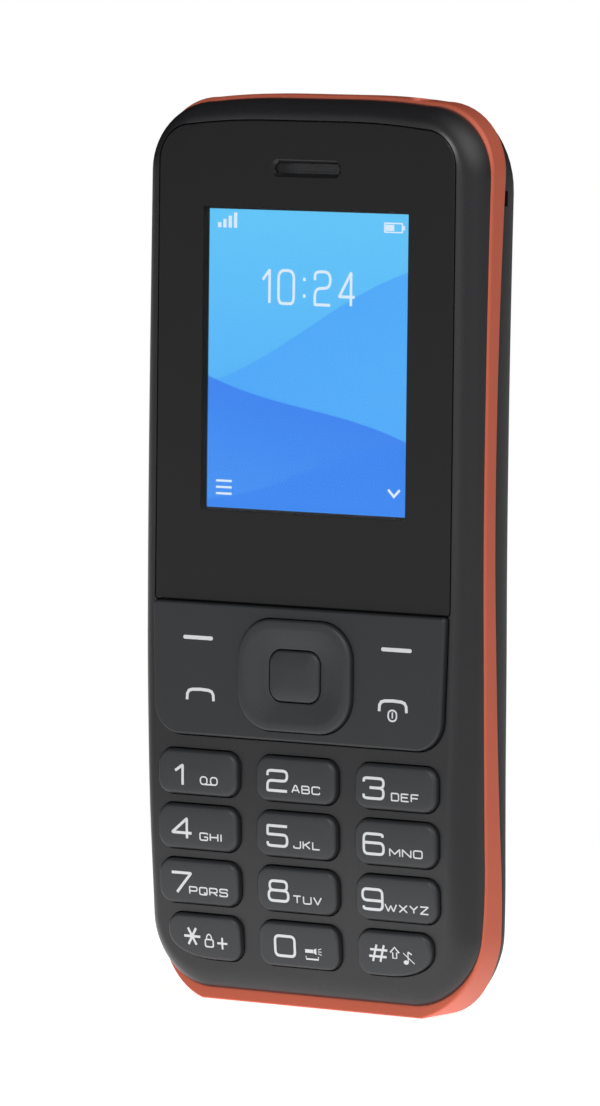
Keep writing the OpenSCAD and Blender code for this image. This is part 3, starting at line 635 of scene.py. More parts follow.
def add_box(bm: Mesh, size: Vector, middle: Vector) -> Vertices:
    """Add a box with its sizes in metres and return its vertices."""
    place_at = Matrix.Translation(middle) @ Matrix.Diagonal((*size, 1))
    return bmesh.ops.create_cube(bm, size=1, matrix=place_at)["verts"]


def round_edges(bm: Mesh, radius: float, segments: int) -> None:
    """Round every edge by a radius in millimetres."""
    bmesh.ops.bevel(bm, geom=bm.edges[:], offset=radius * MM, offset_type="OFFSET", affect="EDGES",
                    segments=segments, profile=0.5, material=-1)


def slice_mesh(bm: Mesh, way: Vector, distance: float) -> None:
    """Split the faces along a plane across an axis, at a distance in metres."""
    whole = bm.verts[:] + bm.edges[:] + bm.faces[:]
    bmesh.ops.bisect_plane(bm, geom=whole, dist=MERGE, plane_co=way * distance, plane_no=way)


def mark_window(bm: Mesh, sides: tuple[float, ...], meant: Callable[[float], bool]) -> None:
    """Cut a rectangle into the faces and give what lies in it the second material slot.

    Args:
        bm: Mesh that is marked.
        sides: Left, right, lower and upper side, in millimetres.
        meant: Whether a face in the rectangle is meant, from its normal along Y.
    """
    x0, x1, z0, z1 = sides
    for way, value in ((X_AXIS, x0), (X_AXIS, x1), (Z_AXIS, z0), (Z_AXIS, z1)):
        slice_mesh(bm, way, value * MM)
    for face in bm.faces:
        middle = face.calc_center_median() / MM
        inside = x0 < middle.x < x1 and z0 < middle.z < z1
        face.material_index = int(inside and meant(face.normal.y))


class Cap(Enum):
    """How a loft's ends are closed."""

    JOINED = "joined"
    FLAT = "flat"
    LADDER = "ladder"


def loft(bm: Mesh, rings: Sequence[Ring], cap: Cap = Cap.FLAT) -> None:
    """Bridge a row of rings into a closed skin.

    Args:
        bm: Mesh that gets the skin.
        rings: Rings with the same count of points.
        cap: Whether the ends are joined to each other, filled flat or filled by a ladder of faces.
    """
    rows = [add_ring(bm, ring) for ring in rings]
    before = set(bm.faces)
    ends = rows[1:] + rows[:1] if cap is Cap.JOINED else rows[1:]
    for a, b in zip(rows, ends):
        bmesh.ops.bridge_loops(bm, edges=ring_edges(bm, a) + ring_edges(bm, b))
    for row in (rows[0], rows[-1]):
        half = len(row) // 2
        if cap is Cap.FLAT:
            bmesh.ops.contextual_create(bm, geom=ring_edges(bm, row))
        elif cap is Cap.LADDER:
            sides = ring_edges(bm, row[:half], False) + ring_edges(bm, row[half:], False)
            bmesh.ops.bridge_loops(bm, edges=sides)
    turn_outwards(bm, [f for f in bm.faces if f not in before])


def turn_outwards(bm: Mesh, faces: list[bmesh.types.BMFace]) -> None:
    """Give a closed skin one winding, with its normals outwards.

    Args:
        bm: Mesh that holds the skin.
        faces: Faces of the skin.
    """
    bmesh.ops.recalc_face_normals(bm, faces=faces)
    volume = 0.0
    for face in faces:
        start = face.verts[0].co
        for a, b in zip(face.verts[1:], face.verts[2:]):
            volume += start.dot(a.co.cross(b.co))
    if volume < 0:
        bmesh.ops.reverse_faces(bm, faces=faces)


def carve(piece: Piece, finish: Surface, **cuts: Callable[[Mesh], None]) -> None:
    """Cut closed solids out of a piece, at a thousand times its size.

    Args:
        piece: Piece that is cut.
        finish: Finish of the cut faces.
        cuts: Name of each solid to the function that adds it to an empty bmesh.
    """
    cutters = []
    for name, build in cuts.items():
        bm = bmesh.new()
        build(bm)
        cutters.append(new_piece(name, bm, finish))
    for solid in [piece] + cutters:
        solid.data.transform(Matrix.Scale(1 / MM, 4))
    for cutter in cutters:
        modifier = piece.modifiers.new(cutter.name, "BOOLEAN")
        modifier.operation, modifier.solver, modifier.object = "DIFFERENCE", "EXACT", cutter
    graph = bpy.context.evaluated_depsgraph_get()
    mesh = bpy.data.meshes.new_from_object(piece.evaluated_get(graph))
    mesh.transform(Matrix.Scale(MM, 4))
    piece.modifiers.clear()
    used = [piece.data] + [cutter.data for cutter in cutters]
    piece.data = mesh
    mesh.name = piece.name
    for old in used:
        bpy.data.meshes.remove(old)


def reshade(piece: Piece, limit: float = SHARP) -> None:
    """Tidy a carved mesh and keep its flat faces flat in shading.

    Args:
        piece: Piece that was carved.
        limit: Degrees from which an edge is sharp.
    """
    with editing(piece) as bm:
        bmesh.ops.remove_doubles(bm, verts=bm.verts, dist=20 * MERGE)
        bmesh.ops.dissolve_degenerate(bm, edges=bm.edges, dist=10 * MERGE)
        smooth_by_angle(bm, limit)
    piece.modifiers.new("even_normals", "WEIGHTED_NORMAL").keep_sharp = True


def place(piece: Piece, body: str, slot: Optional[str], *nodes: str) -> None:
    """Ride a piece on its body and hide the CAD nodes that it stands for.

    Args:
        piece: Finished piece.
        body: Body that it moves with.
        slot: Material slot, if it has one; not used.
        nodes: CAD nodes that it replaces.
    """
    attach(piece, body)
    if nodes:
        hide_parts(*nodes)
    LOG.info("%s rides on %s", piece.name, body)


# Form of the body, in millimetres


def in_mm(box: Sequence[Sequence[float]]) -> list[list[float]]:
    """Lower and upper corner of a box, in millimetres."""
    return [[round(value / MM, 3) for value in corner] for corner in box]


BODY = in_mm(CAD_BOX)[1]
LENS_LOW, LENS_HIGH = in_mm(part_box("display_lens"))
GLASS_LOW, GLASS_HIGH = in_mm(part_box("lcd_panel"))
PLATE_LOW, PLATE_HIGH = in_mm(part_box("function_plate"))


@dataclass(frozen=True)
class Form:
    """Sizes that the shells, the band and the keys share.

    The band's edges are given by their depth at band_z, the rise in depth towards the top and the foot, and
    the curl forwards under curl_z.
    """

    hw: float = BODY[0]
    top: float = BODY[2]
    body_t: float = 12.6
    front_y: float = LENS_LOW[1]
    top_r: float = 8.3
    foot_r: float = 8.3
    band_r: float = 10.0
    cover_r: float = 9.4
    arch: float = 0.55
    arch_flat: float = 1 / 3
    sink: float = 0.22
    foot_cut: float = 0.35
    taper: float = 1.0
    taper_z: float = 44.0
    taper_power: float = 1.5
    wall: float = 1.2
    seam: float = 0.02
    tuck: float = 0.06
    rim_w: float = 2.55
    rim_n: float = 1.85
    bend_z: float = 29.2
    bend_d: float = 1.93
    proud: float = 0.25
    lip: float = 1.4
    cover_lip: float = 0.25
    band_foot: float = 1.6
    band_z: float = 62.0
    front_edge: tuple[float, float, float, float] = (3.0, 0.95, 3.8, 3.9)
    rear_edge: tuple[float, float, float, float] = (5.35, 2.0, 5.95, 2.95)
    curl_z: float = 18.0
    flare: float = 2.6
    flare_z: float = 7.0
    crest: float = 0.004
    corner_n: int = 14
    side_n: int = 44
    arch_n: int = 12

    @property
    def shell_hw(self) -> float:
        """Half width of the shells."""
        return self.hw - self.proud

    @property
    def shell_top(self) -> float:
        """Height of the shells' top edge."""
        return self.top - self.proud

    @staticmethod
    def below(z: float, height: float) -> float:
        """Square of the share of height that lies above z."""
        return (max(height - z, 0) / height) ** 2

    def front(self, z: float) -> float:
        """How far the front has fallen back at height z."""
        return self.bend_d * self.below(z, self.bend_z)

    def arc(self, z: float, sizes: tuple[float, float, float, float]) -> float:
        """Depth of one of the band's edges.

        Args:
            z: Height.
            sizes: Depth in the middle, rise to the top, rise to the foot and curl.

        Returns:
            Depth behind the panel's face.
        """
        mid, top, foot, curl = sizes
        rise = (max(z - self.band_z, 0) / (self.top - self.band_z)) ** 2
        return mid + top * rise + foot * self.below(z, self.band_z) - curl * self.below(z, self.curl_z)

    def band_front(self, z: float) -> float:
        """Depth of the band's front edge."""
        return self.arc(z, self.front_edge)

    def band_rear(self, z: float) -> float:
        """Depth of the band's rear edge."""
        return self.arc(z, self.rear_edge) + self.flare * self.below(z, self.flare_z)

    def outline(self, w: float, z0: float, z1: float, r0: float, r1: float, arch: float,
                cut: float = 0) -> list[Point]:
        """Closed outline of a shell, from the middle of its foot round the right side.

        Args:
            w: Half width.
            z0: Height of the lowest point before the flat cut.
            z1: Height of the top.
            r0: Radius of the lower corners.
            r1: Radius of the upper corners.
            arch: Rise of the top edge.
            cut: Height of the flat cut at the foot.

        Returns:
            X and Z of the outline, right side first.
        """
        a0 = math.acos(1 - cut / r0)
        corner_z = z1 - arch - self.crest - r1
        half: list[Point] = []
        for k in range(self.corner_n + 1):
            a = a0 + (math.pi / 2 - a0) * k / self.corner_n
            half.append((w - r0 + r0 * math.sin(a), z0 + r0 - r0 * math.cos(a)))
        for k in range(1, self.side_n):
            half.append((w, z0 + r0 + (corner_z - z0 - r0) * k / self.side_n))
        for k in range(self.corner_n + 1):
            a = math.pi / 2 * k / self.corner_n
            half.append((w - r1 + r1 * math.cos(a), corner_z + r1 * math.sin(a)))
        for k in range(self.arch_n - 1, 0, -1):
            share = k / self.arch_n
            fall = (max(share - self.arch_flat, 0) / (1 - self.arch_flat)) ** 2
            half.append(((w - r1) * share, z1 - arch * fall - self.crest * share ** 2))
        return half + [(-x, z) for x, z in reversed(half)]

    def tapered(self, *sizes: float) -> list[Point]:
        """Outline of these sizes, with its sides drawn in towards the foot.

        Args:
            sizes: Sizes as outline takes them.

        Returns:
            X and Z of the outline.
        """
        def scale(z: float) -> float:
            """Share of the width that is left at height z."""
            return 1 - self.taper / self.hw * (max(self.taper_z - z, 0) / self.taper_z) ** self.taper_power
        return [(x * scale(z), z) for x, z in self.outline(*sizes)]

    def shell(self, inset: float, share: float = 1) -> list[Point]:
        """Outline of the front shell, whose top edge sinks by a share of its way to the band."""
        return self.tapered(
            self.shell_hw - inset, self.lip + inset, self.shell_top - inset - self.sink * share,
            self.foot_r - inset, self.top_r - inset, self.arch)

    def band(self, inset: float) -> list[Point]:
        """Outline of the band."""
        return self.tapered(
            self.hw - inset, inset - self.foot_cut, self.top - inset,
            self.band_r - inset, self.top_r - inset, self.arch, self.foot_cut)

    def opening(self) -> list[Point]:
        """Outline of the space inside the band."""
        return self.tapered(
            self.shell_hw - self.wall, self.band_foot, self.shell_top - self.wall,
            self.band_r - self.wall, self.top_r - self.wall, self.arch)

    def cover(self, inset: float, rounder: float = 0) -> list[Point]:
        """Outline of the back cover, with its upper corners rounder by some millimetres."""
        return self.tapered(
            self.shell_hw - inset, self.cover_lip + inset, self.shell_top - inset,
            self.cover_r - inset, self.top_r - inset + rounder, self.arch)

    def ring(self, points: list[Point], depth: Depth) -> Ring:
        """Outline at a depth behind the panel's face, in metres."""
        return [self.point(x, depth(z), z) for x, z in points]

    def point(self, x: float, depth: float, z: float) -> Vector:
        """One point at a depth behind the panel's face, in metres."""
        return Vector((x, self.front_y + depth, z)) * MM


FORM = Form()


def at(depth: float) -> Depth:
    """Depth that is the same at every height."""
    return lambda z: depth


def along(depth: float) -> Depth:
    """Depth measured from the front, which falls back towards the foot."""
    return lambda z: FORM.front(z) + depth


def band_front(depth: float) -> Depth:
    """Depth measured from the band's front edge."""
    return lambda z: FORM.band_front(z) + depth


def band_rear(depth: float) -> Depth:
    """Depth measured from the band's rear edge."""
    return lambda z: FORM.band_rear(z) + depth


def quarter(steps: int, first: int = 0) -> list[Point]:
    """Quarter round from its top to its side, as shares of inset and depth."""
    turns = [math.pi / 2 * k / steps for k in range(first, steps + 1)]
    return [(1 - math.sin(turn), 1 - math.cos(turn)) for turn in turns]


def pill(w: float, h: float, corners: Sequence[Point], x: float = 0, z: float = 0,
         count: int = 9) -> list[Point]:
    """Rounded rectangle.

    Args:
        w: Width.
        h: Height.
        corners: Width and height of the lower right, upper right, upper left and lower left corners.
        x: Middle of the rectangle.
        z: Middle height.
        count: Steps in a corner.

    Returns:
        X and Z of the outline.
    """
    points: list[Point] = []
    for q, (rx, rz) in enumerate(corners):
        sx = 1 if q in (0, 1) else -1
        sz = 1 if q in (1, 2) else -1
        for k in range(count + 1):
            a = math.radians(90 * (q - 1) + 90 * k / count)
            across = x + sx * (w / 2 - rx) + rx * math.cos(a)
            points.append((across, z + sz * (h / 2 - rz) + rz * math.sin(a)))
    return points


def even(r: float, least: float = 0.1) -> list[Point]:
    """Four round corners of one radius."""
    return [(max(r, least), max(r, least))] * 4


def stadium(w: float, h: float, x: float, z: float) -> list[Point]:
    """Slot with round ends, or a round hole."""
    return pill(w, h, even(h / 2 - HAIR), x, z)


def stack(outline: Outline, profile: Profile, surface: Callable[[float], Depth] = at) -> list[Ring]:
    """Rings of an outline, changed in size and set at a depth by each step of a profile."""
    return [FORM.ring(outline(size), surface(depth)) for size, depth in profile]


def flared(bm: Mesh, outline: Outline, back: Depth, rim: float,
           surface: Callable[[float], Depth] = at) -> None:
    """Cutter of a hole whose mouth has a soft edge.

    Args:
        bm: Mesh that gets the cutter.
        outline: Outline of the hole, grown by its argument.
        back: Depth where the hole ends.
        rim: Size of the soft edge.
        surface: Depth from the surface that the mouth lies in.
    """
    mouth = [(rim, -0.6), (rim, -0.02), (rim * 0.45, rim * 0.16), (rim * 0.14, rim * 0.5), (0, rim)]
    loft(bm, stack(outline, mouth, surface) + [FORM.ring(outline(0), back)])


# Shells


@dataclass(frozen=True)
class Keypad:
    """Places and outlines of the keys; the outer keys of the last row are narrower and rounder."""

    key_w: float = 11.2
    key_h: float = 5.3
    key_r: float = 1.7
    least_r: float = 0.15
    pitch_x: float = 13.85
    pitch_z: float = 6.5
    first_z: float = 27.15
    gap: float = 0.13
    trim: float = 1.0
    last: Point = (6.0, 3.0)
    rows: tuple[tuple[str, str, str], ...] = (
        ("1", "2", "3"), ("4", "5", "6"), ("7", "8", "9"), ("star", "0", "hash"),
    )

    def keys(self) -> list[tuple[str, int, int]]:
        """Name, column and row of each key."""
        return [(name, col, row) for row, names in enumerate(self.rows) for col, name in enumerate(names)]

    def cut(self, col: int, row: int) -> float:
        """How much narrower a key is."""
        return self.trim if row == len(self.rows) - 1 and col != 1 else 0

    def centre(self, col: int, row: int) -> Point:
        """Middle of a key."""
        return (col - 1) * (self.pitch_x - self.cut(col, row) / 2), self.first_z - row * self.pitch_z

    def width(self, col: int, row: int) -> float:
        """Width of a key."""
        return self.key_w - self.cut(col, row)

    def outline(self, col: int, row: int, grow: float) -> list[Point]:
        """Outline of a key.

        Args:
            col: Column from the left.
            row: Row from the top.
            grow: How far it is grown all round.

        Returns:
            X and Z of the outline.
        """
        corners = [(self.key_r, self.key_r)] * 4
        if self.cut(col, row):
            corners[0 if col == 2 else 3] = self.last
        fitted = [(max(rx + grow, self.least_r), max(rz + grow, self.least_r)) for rx, rz in corners]
        return pill(self.width(col, row) + 2 * grow, self.key_h + 2 * grow, fitted, *self.centre(col, row))


PAD = Keypad()


@dataclass
class FrontShell:
    """Black front shell, its gloss panel and the earpiece mesh."""

    ledge: float = 2.0
    rim_steps: int = 12
    rim_over: float = 0.3
    recess: float = 1.45
    plate_gap: float = 0.15
    panel_rim: float = 0.08
    key_rim: float = 0.07
    pad_hole: tuple[float, float, float] = (18.0, 14.5, 4.6)
    lens_r: Point = (0.4, 4.3)
    lens_arch: float = 0.65
    lens_gap: float = 0.12
    lens_t: float = 1.0
    lens_edge: Profile = ((-0.14, 0.0), (-0.05, 0.035), (0.0, 0.12))
    slot: tuple[float, float, float] = (9.8, 2.0, 98.45)
    slot_steps: Profile = (
        (0.1, -0.5), (0.1, -0.01), (-0.04, 0.03), (-0.72, 0.36), (-0.8, 0.48), (-0.8, 1.5),
    )
    picture: tuple[float, float, float, float] = (-14.015, 14.015, 58.46, 93.5)
    window_edge: float = 0.3
    weave: tuple[int, int] = (26, 4)
    weave_inset: float = 0.83
    weave_lift: float = 0.36
    weave_t: float = 0.1
    thread: float = 0.07

    def lens(self, grow: float) -> list[Point]:
        """Outline of the gloss panel."""
        return FORM.outline(
            LENS_HIGH[0] + grow, LENS_LOW[2] - grow, LENS_HIGH[2] + grow,
            self.lens_r[0] + grow, self.lens_r[1] + grow, self.lens_arch)

    def build_shell(self) -> None:
        """Front shell with its soft rim, recesses and key holes."""
        bm = bmesh.new()
        rings = []
        for a, b in quarter(self.rim_steps):
            inset = FORM.rim_w * (1 - (1 - a) ** (2 / FORM.rim_n))
            share = 1 - (1 - b) ** (2 / FORM.rim_n)
            rings.append(FORM.ring(
                FORM.shell(inset, share),
                lambda z: FORM.front(z) + (FORM.band_front(z) - FORM.front(z)) * share))
        loft(bm, rings, Cap.LADDER)
        finish_mesh(bm)
        shell = new_piece("front_shell", bm, SHELL)
        carve(shell, SHELL, inside=self.cut_inside, panel_recess=self.cut_panel,
              plate_recess=self.cut_plate, pad_hole=self.cut_pad, key_holes=self.cut_keys)
        reshade(shell)
        place(shell, "phone", "shell_black", "front_housing")

    def cut_inside(self, bm: Mesh) -> None:
        """Add the space behind the front wall."""
        rim = FORM.ring(FORM.shell(FORM.rim_w - self.rim_over, 0), along(self.ledge))
        loft(bm, [rim, FORM.ring(FORM.shell(FORM.wall), band_front(OVER))], Cap.LADDER)

    def cut_panel(self, bm: Mesh) -> None:
        """Add the gloss panel's recess."""
        flared(bm, lambda g: self.lens(self.lens_gap + g), at(self.ledge + OVER), self.panel_rim)

    def cut_plate(self, bm: Mesh) -> None:
        """Add the soft-key plate's recess."""
        flared(bm, lambda g: FUNCTIONS.plate(self.plate_gap + g), at(self.recess), self.key_rim)

    def cut_pad(self, bm: Mesh) -> None:
        """Add the hole behind the four-way ring.

        Args:
            bm: Mesh that gets the cutter.
        """
        w, h, r = self.pad_hole
        rows = ((0, 0), (0, self.ledge + OVER))
        loft(bm, stack(lambda g: pill(w, h, even(r), 0, FUNCTIONS.pad_z), rows))

    def cut_keys(self, bm: Mesh) -> None:
        """Add a soft-edged hole for every number key.

        Args:
            bm: Mesh that gets the cutter.
        """
        for _, col, row in PAD.keys():
            flared(bm, lambda g: PAD.outline(col, row, PAD.gap + g), along(self.ledge + 2 * OVER),
                   self.key_rim, along)

    def cut_slot(self, bm: Mesh) -> None:
        """Add the earpiece slot with its sloping sides."""
        w, h, z = self.slot
        loft(bm, stack(lambda g: stadium(w + g, h + g, 0, z), self.slot_steps))

    def build_lens(self) -> None:
        """Gloss panel with a clear window and the earpiece slot."""
        bm = bmesh.new()
        loft(bm, stack(self.lens, (*self.lens_edge, (0, self.lens_t))), Cap.LADDER)
        finish_mesh(bm)
        lens = new_piece("front_panel", bm, PANEL, WINDOW)
        carve(lens, PANEL, slot=self.cut_slot)
        x0, x1, z0, z1 = self.picture
        edge = self.window_edge
        with editing(lens) as bm:
            mark_window(bm, (x0 - edge, x1 + edge, z0 - edge, z1 + edge), lambda y: abs(y) > FACING)
        reshade(lens, PANEL_SHARP)
        place(lens, "phone", "panel_black", "display_lens")

    def build_mesh(self) -> None:
        """Woven strip behind the earpiece slot."""
        w, h, z = self.slot
        bm = bmesh.new()
        bmesh.ops.create_grid(bm, x_segments=self.weave[0], y_segments=self.weave[1], size=0.5)
        bmesh.ops.scale(bm, vec=(w - self.weave_inset, h - self.weave_inset, 1), verts=bm.verts)
        bmesh.ops.rotate(bm, matrix=UPRIGHT, verts=bm.verts)
        bmesh.ops.translate(bm, vec=(0, FORM.front_y + self.lens_t - self.weave_lift, z), verts=bm.verts)
        threads = set(bmesh.ops.inset_individual(
            bm, faces=bm.faces[:], thickness=self.thread, use_even_offset=True)["faces"])
        bmesh.ops.delete(bm, geom=[f for f in bm.faces if f not in threads], context="FACES")
        bmesh.ops.solidify(bm, geom=bm.faces[:], thickness=self.weave_t)
        bmesh.ops.scale(bm, vec=(MM, MM, MM), verts=bm.verts)
        finish_mesh(bm)
        place(new_piece("earpiece_weave", bm, MESH), "phone", "mesh", "earpiece_mesh")

    def build(self) -> None:
        """Build the front pieces."""
        for build in (self.build_shell, self.build_lens, self.build_mesh):
            build()


@dataclass
class Display:
    """Display glass with its lit picture; a sign's sizes are its middle, width and height."""

    edge: float = 0.15
    clock: tuple[float, float, float, float] = (0, 84.6, 13.2, 4.2)
    clock_line: float = 0.34
    bars: int = 4
    first_bar: Point = (-12.6, 91.6)
    bar_pitch: float = 0.75
    bar_w: float = 0.45
    bar_h: float = 0.6
    bar_rise: float = 0.4
    cell: tuple[float, float, float, float] = (11.7, 91.9, 2.6, 1.2)
    cell_line: float = 0.16
    charge: tuple[float, float, float, float] = (11.2, 91.9, 1.2, 0.7)
    cell_end: tuple[float, float, float, float] = (13.15, 91.9, 0.25, 0.5)
    menu: tuple[float, float, float, float] = (-11.6, 60.1, 2.2, 0.26)
    menu_lines: int = 3
    arrow: tuple[Point, ...] = ((11.4, 61.6), (12.2, 60.8), (13.0, 61.6))
    arrow_line: float = 0.3

    def build(self) -> None:
        """Build the glass, the picture and the lit signs."""
        low, high = Vector(GLASS_LOW) * MM, Vector(GLASS_HIGH) * MM
        bm = bmesh.new()
        add_box(bm, high - low, (low + high) / 2)
        round_edges(bm, self.edge, 2)
        mark_window(bm, FRONT.picture, lambda y: y < -FACING)
        finish_mesh(bm)
        place(new_piece("display_glass", bm, GLASS_EDGE, PictureFinish()), "phone", "display", "lcd_panel")
        self.build_signs()

    def build_signs(self) -> None:
        """Plain clock digits and level signs on the picture."""
        depth = GLASS_LOW[1] - FORM.front_y
        signs = Lettering(lambda x, z: depth, thickness=0.02, lift=0.015)
        signs.text("10:24", *self.clock, self.clock_line)
        x, z = self.first_bar
        for k in range(self.bars):
            height = self.bar_h + self.bar_rise * k
            signs.bar(x + self.bar_pitch * k, z + self.bar_rise / 2 * k, self.bar_w, height)
        signs.frame(*self.cell, self.cell_line)
        signs.bar(*self.charge)
        signs.bar(*self.cell_end)
        x, z, w, h = self.menu
        for k in range(self.menu_lines):
            signs.bar(x, z + self.bar_pitch * k, w, h)
        signs.bow(self.arrow, self.arrow_line)
        place(signs.piece("lit_signs", GlowFinish()), "phone", None)


# Signs, as strokes in a box of 1 by 1; a third value of 0 keeps a corner sharp


LOOP = [(0.5, 0), (1, 0), (1, 1), (0, 1), (0, 0), (0.5, 0)]
BOWL = [(0, 0), (0, 1, 0), (1, 1), (1, 0.42), (0, 0.42)]
STROKES: dict[str, list[Sequence[tuple]]] = {
    "0": [LOOP],
    "1": [[(0, 0.7), (1, 1, 0), (1, 0)]],
    "2": [[(0, 0.74), (0, 1), (1, 1), (1, 0.5), (0, 0.5), (0, 0, 0), (1, 0)]],
    "3": [[(0, 0.8), (0, 1), (1, 1), (1, 0.53), (0.3, 0.53)],
          [(0.3, 0.53), (1, 0.53), (1, 0), (0, 0), (0, 0.2)]],
    "4": [[(0.76, 0), (0.76, 1, 0), (0, 0.27, 0), (1, 0.27)]],
    "5": [[(1, 1), (0, 1, 0), (0, 0.57, 0), (1, 0.57), (1, 0), (0, 0), (0, 0.2)]],
    "6": [[(0.95, 0.85), (0.95, 1), (0, 1), (0, 0), (1, 0), (1, 0.56), (0, 0.56)]],
    "7": [[(0, 1), (1, 1, 0), (0.25, 0)]],
    "8": [[(0.5, 0.53), (0.94, 0.53), (0.94, 1), (0.06, 1), (0.06, 0.53), (0.5, 0.53)],
          [(0.5, 0), (1, 0), (1, 0.53), (0, 0.53), (0, 0), (0.5, 0)]],
    "9": [[(1, 0.44), (0, 0.44), (0, 1), (1, 1), (1, 0), (0.05, 0), (0.05, 0.15)]],
    "A": [[(0, 0), (0.4, 1, 0), (0.6, 1, 0), (1, 0)], [(0.16, 0.34), (0.84, 0.34)]],
    "B": [[(0, 0), (0, 1, 0), (0.94, 1), (0.94, 0.52), (0, 0.52)],
          [(0.4, 0.52), (1, 0.52), (1, 0), (0, 0)]],
    "C": [[(1, 0.76), (1, 1), (0, 1), (0, 0), (1, 0), (1, 0.24)]],
    "D": [[(0, 0.5), (0, 1, 0), (1, 1), (1, 0), (0, 0, 0), (0, 0.5)]],
    "E": [[(1, 1), (0, 1, 0), (0, 0, 0), (1, 0)], [(0, 0.52), (0.9, 0.52)]],
    "F": [[(1, 1), (0, 1, 0), (0, 0)], [(0, 0.5), (0.9, 0.5)]],
    "G": [[(1, 0.78), (1, 1), (0, 1), (0, 0), (1, 0), (1, 0.46, 0), (0.55, 0.46)]],
    "H": [[(0, 0), (0, 1)], [(1, 0), (1, 1)], [(0, 0.5), (1, 0.5)]],
    "I": [[(0.5, 0), (0.5, 1)]],
    "J": [[(1, 1), (1, 0), (0, 0), (0, 0.32)]],
    "K": [[(0, 0), (0, 1)], [(1, 1), (0.1, 0.45)], [(0.3, 0.58), (1, 0)]],
    "L": [[(0, 1), (0, 0, 0), (1, 0)]],
    "M": [[(0, 0), (0, 1, 0), (0.5, 0.3, 0), (1, 1, 0), (1, 0)]],
    "N": [[(0, 0), (0, 1, 0), (1, 0, 0), (1, 1)]],
    "O": [LOOP],
    "P": [BOWL],
    "Q": [LOOP, [(0.6, 0.32), (1, 0)]],
    "R": [BOWL, [(0.5, 0.42), (1, 0)]],
    "S": [[(1, 0.78), (1, 1), (0, 1), (0, 0.52), (1, 0.52), (1, 0), (0, 0), (0, 0.22)]],
    "T": [[(0, 1), (1, 1)], [(0.5, 1), (0.5, 0)]],
    "U": [[(0, 1), (0, 0), (1, 0), (1, 1)]],
    "V": [[(0, 1), (0.5, 0, 0), (1, 1)]],
    "W": [[(0, 1), (0.27, 0, 0), (0.5, 0.8, 0), (0.73, 0, 0), (1, 1)]],
    "X": [[(0, 0), (1, 1)], [(0, 1), (1, 0)]],
    "Y": [[(0, 1), (0.5, 0.48, 0), (1, 1)], [(0.5, 0.48), (0.5, 0)]],
    "Z": [[(0, 1), (1, 1, 0), (0, 0, 0), (1, 0)]],
    "#": [[(0.2, 0), (0.42, 1)], [(0.6, 0), (0.82, 1)], [(0, 0.3), (0.95, 0.3)], [(0.07, 0.7), (1, 0.7)]],
    ":": [[(0.5, 0.2), (0.5, 0.3)], [(0.5, 0.7), (0.5, 0.8)]],
}
WIDTHS = {"I": 0.12, "M": 1.2, "W": 1.5, ":": 0.2, "1": 0.45}
# Radius of a sharp corner as a share of the line, and the most that a corner takes of a side
SHARP_CORNER = 0.4
CORNER_REACH = 0.48
# Longest step along a stroke in millimetres, and the least share of its width that is left across a bend
STROKE_STEP = 0.5
LEAST_MITRE = 0.55


def softened(points: Sequence[tuple], radius: float, line: float) -> list[Point]:
    """Round the corners of a stroke and cut it into short steps.

    Args:
        points: Corners, in millimetres.
        radius: Size of a round corner.
        line: Width of the stroke.

    Returns:
        Points along the stroke.
    """
    path = [Vector(points[0][:2])]
    for near in zip(points, points[1:], points[2:]):
        a, b, c = (Vector(p[:2]) for p in near)
        size = radius if len(near[1]) == 2 else SHARP_CORNER * line
        start = b + (a - b).normalized() * min(size, CORNER_REACH * (a - b).length)
        end = b + (c - b).normalized() * min(size, CORNER_REACH * (c - b).length)
        for t in (0, 0.2, 0.4, 0.6, 0.8, 1):
            path.append(start * (1 - t) ** 2 + b * 2 * t * (1 - t) + end * t * t)
    path.append(Vector(points[-1][:2]))
    fine: list[Point] = []
    for a, b in zip(path, path[1:]):
        steps = max(1, math.ceil((b - a).length / STROKE_STEP))
        fine += [tuple(a.lerp(b, k / steps)) for k in range(steps) if (b - a).length > 1e-5]
    return fine + [tuple(path[-1])]


def arc_points(x: float, z: float, rx: float, rz: float, turn: float, steps: int) -> list[Point]:
    """Points on an oval from its right end, with the last one at a turn in radians."""
    turns = [turn * k / steps for k in range(steps + 1)]
    return [(x + rx * math.cos(a), z + rz * math.sin(a)) for a in turns]


